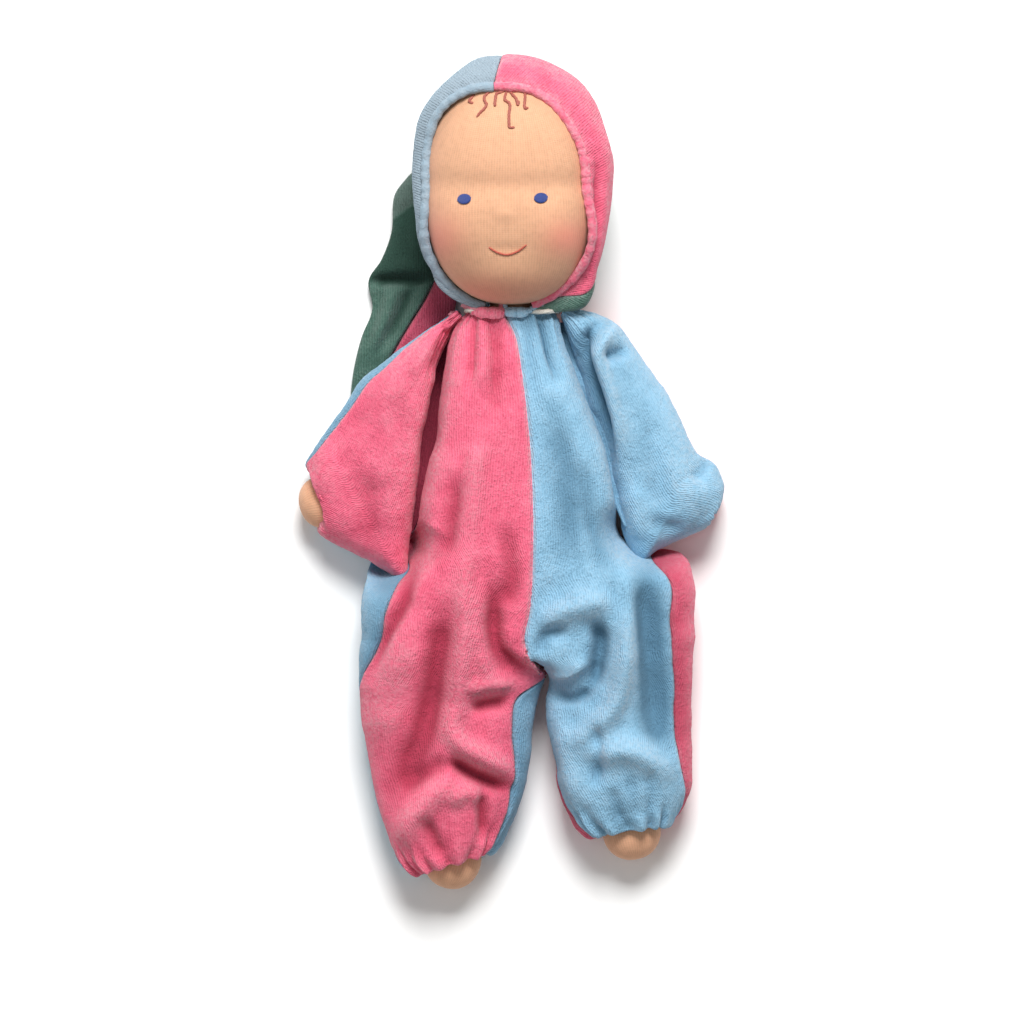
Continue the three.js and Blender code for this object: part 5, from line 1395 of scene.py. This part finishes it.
def satin_eye(name, centre, material):
    """A satin-stitched eye: threads side by side, each as long as the oval there and arched over its
    pad."""
    t = np.linspace(-1, 1, 15)
    meshes = []
    for share in np.linspace(-1, 1, EYE_STRANDS) * 0.93:
        half = EYE_HALF[1] * math.sqrt(1 - share * share)
        line = np.column_stack([centre[0] + share * EYE_HALF[0] + 0.12 * t, centre[1] + half * t])
        path = on_face(line, 0.35 * MM)
        path[:, 2] += PAD_HEIGHT * np.sqrt(1 - share * share) * np.sqrt(np.maximum(1 - t * t, 0))
        meshes.append(closed_mesh(tube_rings(path, STRAND_RADIUS, 8)))
    return add_piece(name, *join_meshes(meshes), material)


class DOLL_OT_embroidery(bpy.types.Operator):
    """Embroidered eyes, mouth and hair"""
    bl_idname = "doll.embroidery"
    bl_label = "Embroidery"

    def execute(self, context):
        sizes = context.scene.doll_sizes
        for node, centre in EYES.items():
            eye = satin_eye(f"{node}_satin", centre, finish_of("thread_blue"))
            dressed(eye, "head", "thread_blue", node)
        mouth = stitched("mouth_stitch", MOUTH, 0.8 * sizes.thread, finish_of("thread_red"))
        dressed(mouth, "head", "thread_red", "mouth")
        for node, points in HAIR_STITCHES.items():
            hair = stitched(f"{node}_thread", points, 1.2 * sizes.thread, finish_of("thread_brown"))
            dressed(hair, "head", "thread_brown", node)
        return {"FINISHED"}


# Neck, cord and stuffing

CORD_RISE = 2.2 * MM  # the cord sits this much nearer the chin than the frame's plain ring
CORD_SHOWN = 17.0 * MM  # distance from the middle at which the cord comes up from between the gathers
CORD_LIFT = 5.5 * MM  # by which it comes up there


class DOLL_OT_neck(bpy.types.Operator):
    """Neck stub with its tie, and the cord round the gathers"""
    bl_idname = "doll.neck"
    bl_label = "Neck and cord"

    def execute(self, context):
        sizes = context.scene.doll_sizes
        low, high = (np.array(corner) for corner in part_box("neck_stub"))
        centre, radius = (low + high) / 2, (high[0] - low[0]) / 2
        dome = np.linspace(0.1, 1.5, 16)
        height = np.concatenate([[low[1], low[1] + 0.4 * MM],
                                 np.linspace(low[1] + 2 * MM, NECK_POINT[1], 14),
                                 NECK_POINT[1] + radius * np.sin(dome)])
        reach = np.concatenate([[0.7, 0.9], np.ones(14), np.cos(dome)]) * radius
        around = np.linspace(0, 2 * math.pi, 64, endpoint=False)[None, :]
        rings = np.stack(np.broadcast_arrays(centre[0] + reach[:, None] * np.cos(around), height[:, None],
                                             centre[2] + reach[:, None] * np.sin(around)), axis=-1)
        points, faces = closed_mesh(rings)
        uv = with_ends(*np.broadcast_arrays(around * radius, height[:, None]))
        stub = add_piece("neck_stub_stuffed", points, faces, finish_of("tricot_skin"), uv,
                         {"blush": np.full(len(points), 0.15)})
        dressed(stub, "neck", "tricot_skin", "neck_stub")
        dressed(ring_thread("neck_tie"), "neck", "cord_ivory", "neck_tie")
        low, high = (np.array(corner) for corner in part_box("neck_cord"))
        middle, half = (low + high) / 2, (high - low) / 2 - sizes.cord
        angle = np.linspace(0, 2 * math.pi, 260, endpoint=False)
        path = np.column_stack([
            middle[0] + half[0] * signed_power(np.cos(angle), 2 / ROUNDNESS),
            middle[1] + CORD_RISE + 0.25 * MM * np.sin(5 * angle),
            middle[2] + half[2] * signed_power(np.sin(angle), 2 / ROUNDNESS)])
        shown = bell(np.abs(path[:, 0] - middle[0]) - CORD_SHOWN, 6 * MM) * (path[:, 2] > middle[2])
        path[:, 2] += CORD_LIFT * shown
        cord = thread_loop("neck_cord_braid", path, sizes.cord, 14, 4, 5 * MM, finish_of("cord_ivory"))
        dressed(cord, "torso", "cord_ivory", "neck_cord")
        return {"FINISHED"}


class DOLL_OT_stuffing(bpy.types.Operator):
    """Carded wool inside the body, the arms and the legs"""
    bl_idname = "doll.stuffing"
    bl_label = "Stuffing"

    def execute(self, context):
        for body in ("torso", "left_arm", "right_arm", "left_leg", "right_leg"):
            node = f"{body}_stuffing"
            piece = wool_of(node)
            dressed(piece, body, "wool_fill", node)
        return {"FINISHED"}


WOOL_SHRINK = np.array([0.94, 0.97, 0.86])  # share of each side that the wool keeps under its loose cloth
WOOL_SUNK = 3.5 * MM  # under the suit's front
WOOL_PRESSED = 0.88  # share of the height that the wool loses at a pressed hip
SLEEVE_GAP = 3.5 * MM  # between an arm's wool and its sleeve's inner edge


def wool_of(node):
    """Wool in a node's form: its mesh with its double points merged, drawn in a little, sunk under the
    valleys of the cloth and made lumpy by noise. The torso's is pressed flat with the hips, and an arm's
    ends short of the sleeve's inner edge."""
    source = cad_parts[node].data
    points, inverse = np.unique(np.round(points_of(source), 6), axis=0, return_inverse=True)
    corners = [inverse.reshape(-1)[list(polygon.vertices)].tolist() for polygon in source.polygons]
    faces = [face for face in corners if len(set(face)) == len(face)]
    middle = points.mean(axis=0)
    points = middle + (points - middle) * WOOL_SHRINK
    x, y = points[:, 0], points[:, 1]
    folds = LEFT_FOLDS + RIGHT_FOLDS + LEFT_SLEEVE_FOLDS + RIGHT_SLEEVE_FOLDS
    valleys = [(line, width + 2, height) for line, width, height in folds if height < 0]
    sunk = WOOL_SUNK - fold_height(x, y, valleys)
    points[:, 2] -= sunk * ease((points[:, 2] - 12 * MM) / (14 * MM))
    points[:, 2] += 0.4 * MM * noise(x, y, 8 * MM, 130)
    if node.startswith("torso"):
        flat = np.maximum(flattened(x, y, LEFT_PRESSED), flattened(x, y, RIGHT_PRESSED))
        points[:, 2] *= 1 - WOOL_PRESSED * np.clip(1.5 * flat, 0, 1)
    if "arm" in node:
        rows, gap, nearer = ((LEFT_SLEEVE, -SLEEVE_GAP, np.minimum) if node.startswith("left")
                             else (RIGHT_SLEEVE, SLEEVE_GAP, np.maximum))
        table = spline(rows, 60) * MM
        table = table[:np.argmin(table[:, 3])][::-1]
        points[:, 0] = nearer(x, np.interp(y, table[:, 3], table[:, 2]) + gap)
    return add_piece(f"{node}_wool", points, faces, finish_of("wool_fill"))


# Stage

CAMERA_DISTANCE, CAMERA_SENSOR = 8.0, 36  # metres, millimetres
CAMERA_LENS = CAMERA_SENSOR * CAMERA_DISTANCE / 0.4426  # the picture shows 0.4426 m of the floor

# Light: the place of each lamp, its power in watts and the side of its square, in metres.
LAMPS = [
    ("key", (0.12, 1.6, 1.95), 84.0, 1.0),
    ("fill", (-0.5, -0.4, 1.5), 3.0, 1.2),
]
WORLD_STRENGTH = 0.29
FLOOR_HALF = 6.0  # metres
CAMERA_PLACE = (0.99 * MM, -15.8 * MM, CAMERA_DISTANCE + 0.028)


class DOLL_OT_stage(bpy.types.Operator):
    """Pale floor, soft studio light and a camera that looks straight down"""
    bl_idname = "doll.stage"
    bl_label = "Stage"

    def execute(self, context):
        scene = context.scene
        material, _, shader = new_material("Matt white paper", 0.9, Specular_IOR_Level=0.1)
        shader.inputs["Base Color"].default_value = rgba(scene.doll_colours.floor)
        signs = [(-1, -1), (1, -1), (1, 1), (-1, 1)]
        corners = [[FLOOR_HALF * across, FLOOR_HALF * along, 0] for across, along in signs]
        mesh = bpy.data.meshes.new("floor")
        mesh.from_pydata(corners, [], [[0, 1, 2, 3]])
        mesh.materials.append(material)
        floor = bpy.data.objects.new("floor", mesh)
        scene.collection.objects.link(floor)
        world = bpy.data.worlds.new("Studio")
        scene.world = world
        world.use_nodes = True
        background = world.node_tree.nodes["Background"]
        background.inputs["Color"].default_value = (1.0, 1.0, 1.0, 1)
        background.inputs["Strength"].default_value = WORLD_STRENGTH
        for name, place, energy, size in LAMPS:
            lamp = bpy.data.lights.new(name, "AREA")
            lamp.energy, lamp.size = energy, size
            light = bpy.data.objects.new(name, lamp)
            light.location = place
            aim = -np.array(place)
            aim /= np.linalg.norm(aim)
            light.rotation_euler = (math.acos(-aim[2]), 0, math.atan2(-aim[0], aim[1]))
            scene.collection.objects.link(light)
        camera = bpy.data.cameras.new("camera")
        camera.lens, camera.sensor_width = CAMERA_LENS, CAMERA_SENSOR
        camera.clip_end = 50
        eye = bpy.data.objects.new("camera", camera)
        eye.location = CAMERA_PLACE
        scene.collection.objects.link(eye)
        scene.camera = eye
        scene.view_settings.view_transform = "Standard"
        return {"FINISHED"}


class DOLL_PT_panel(bpy.types.Panel):
    """Lists the doll's pieces in the sidebar"""
    bl_idname = "DOLL_PT_panel"
    bl_label = "Doll"
    bl_space_type = "VIEW_3D"
    bl_region_type = "UI"
    bl_category = "Doll"

    def draw(self, context):
        for operator in OPERATORS:
            self.layout.operator(operator.bl_idname)
        for group in (context.scene.doll_sizes, context.scene.doll_colours):
            for key in type(group).__annotations__:
                self.layout.prop(group, key)


OPERATORS = (DOLL_OT_stage, DOLL_OT_head, DOLL_OT_hood, DOLL_OT_embroidery, DOLL_OT_neck, DOLL_OT_suit,
             DOLL_OT_sleeves, DOLL_OT_limbs, DOLL_OT_stuffing)
CLASSES = (DollColours, DollSizes, *OPERATORS, DOLL_PT_panel)


def register():
    for group in CLASSES:
        bpy.utils.register_class(group)
    bpy.types.Scene.doll_colours = PointerProperty(type=DollColours)
    bpy.types.Scene.doll_sizes = PointerProperty(type=DollSizes)


def unregister():
    del bpy.types.Scene.doll_sizes
    del bpy.types.Scene.doll_colours
    for group in reversed(CLASSES):
        bpy.utils.unregister_class(group)


def main():
    register()
    for operator in OPERATORS:
        category, action = operator.bl_idname.split(".")
        getattr(getattr(bpy.ops, category), action)()
    bpy.context.view_layer.update()


if __name__ == "__main__":
    main()
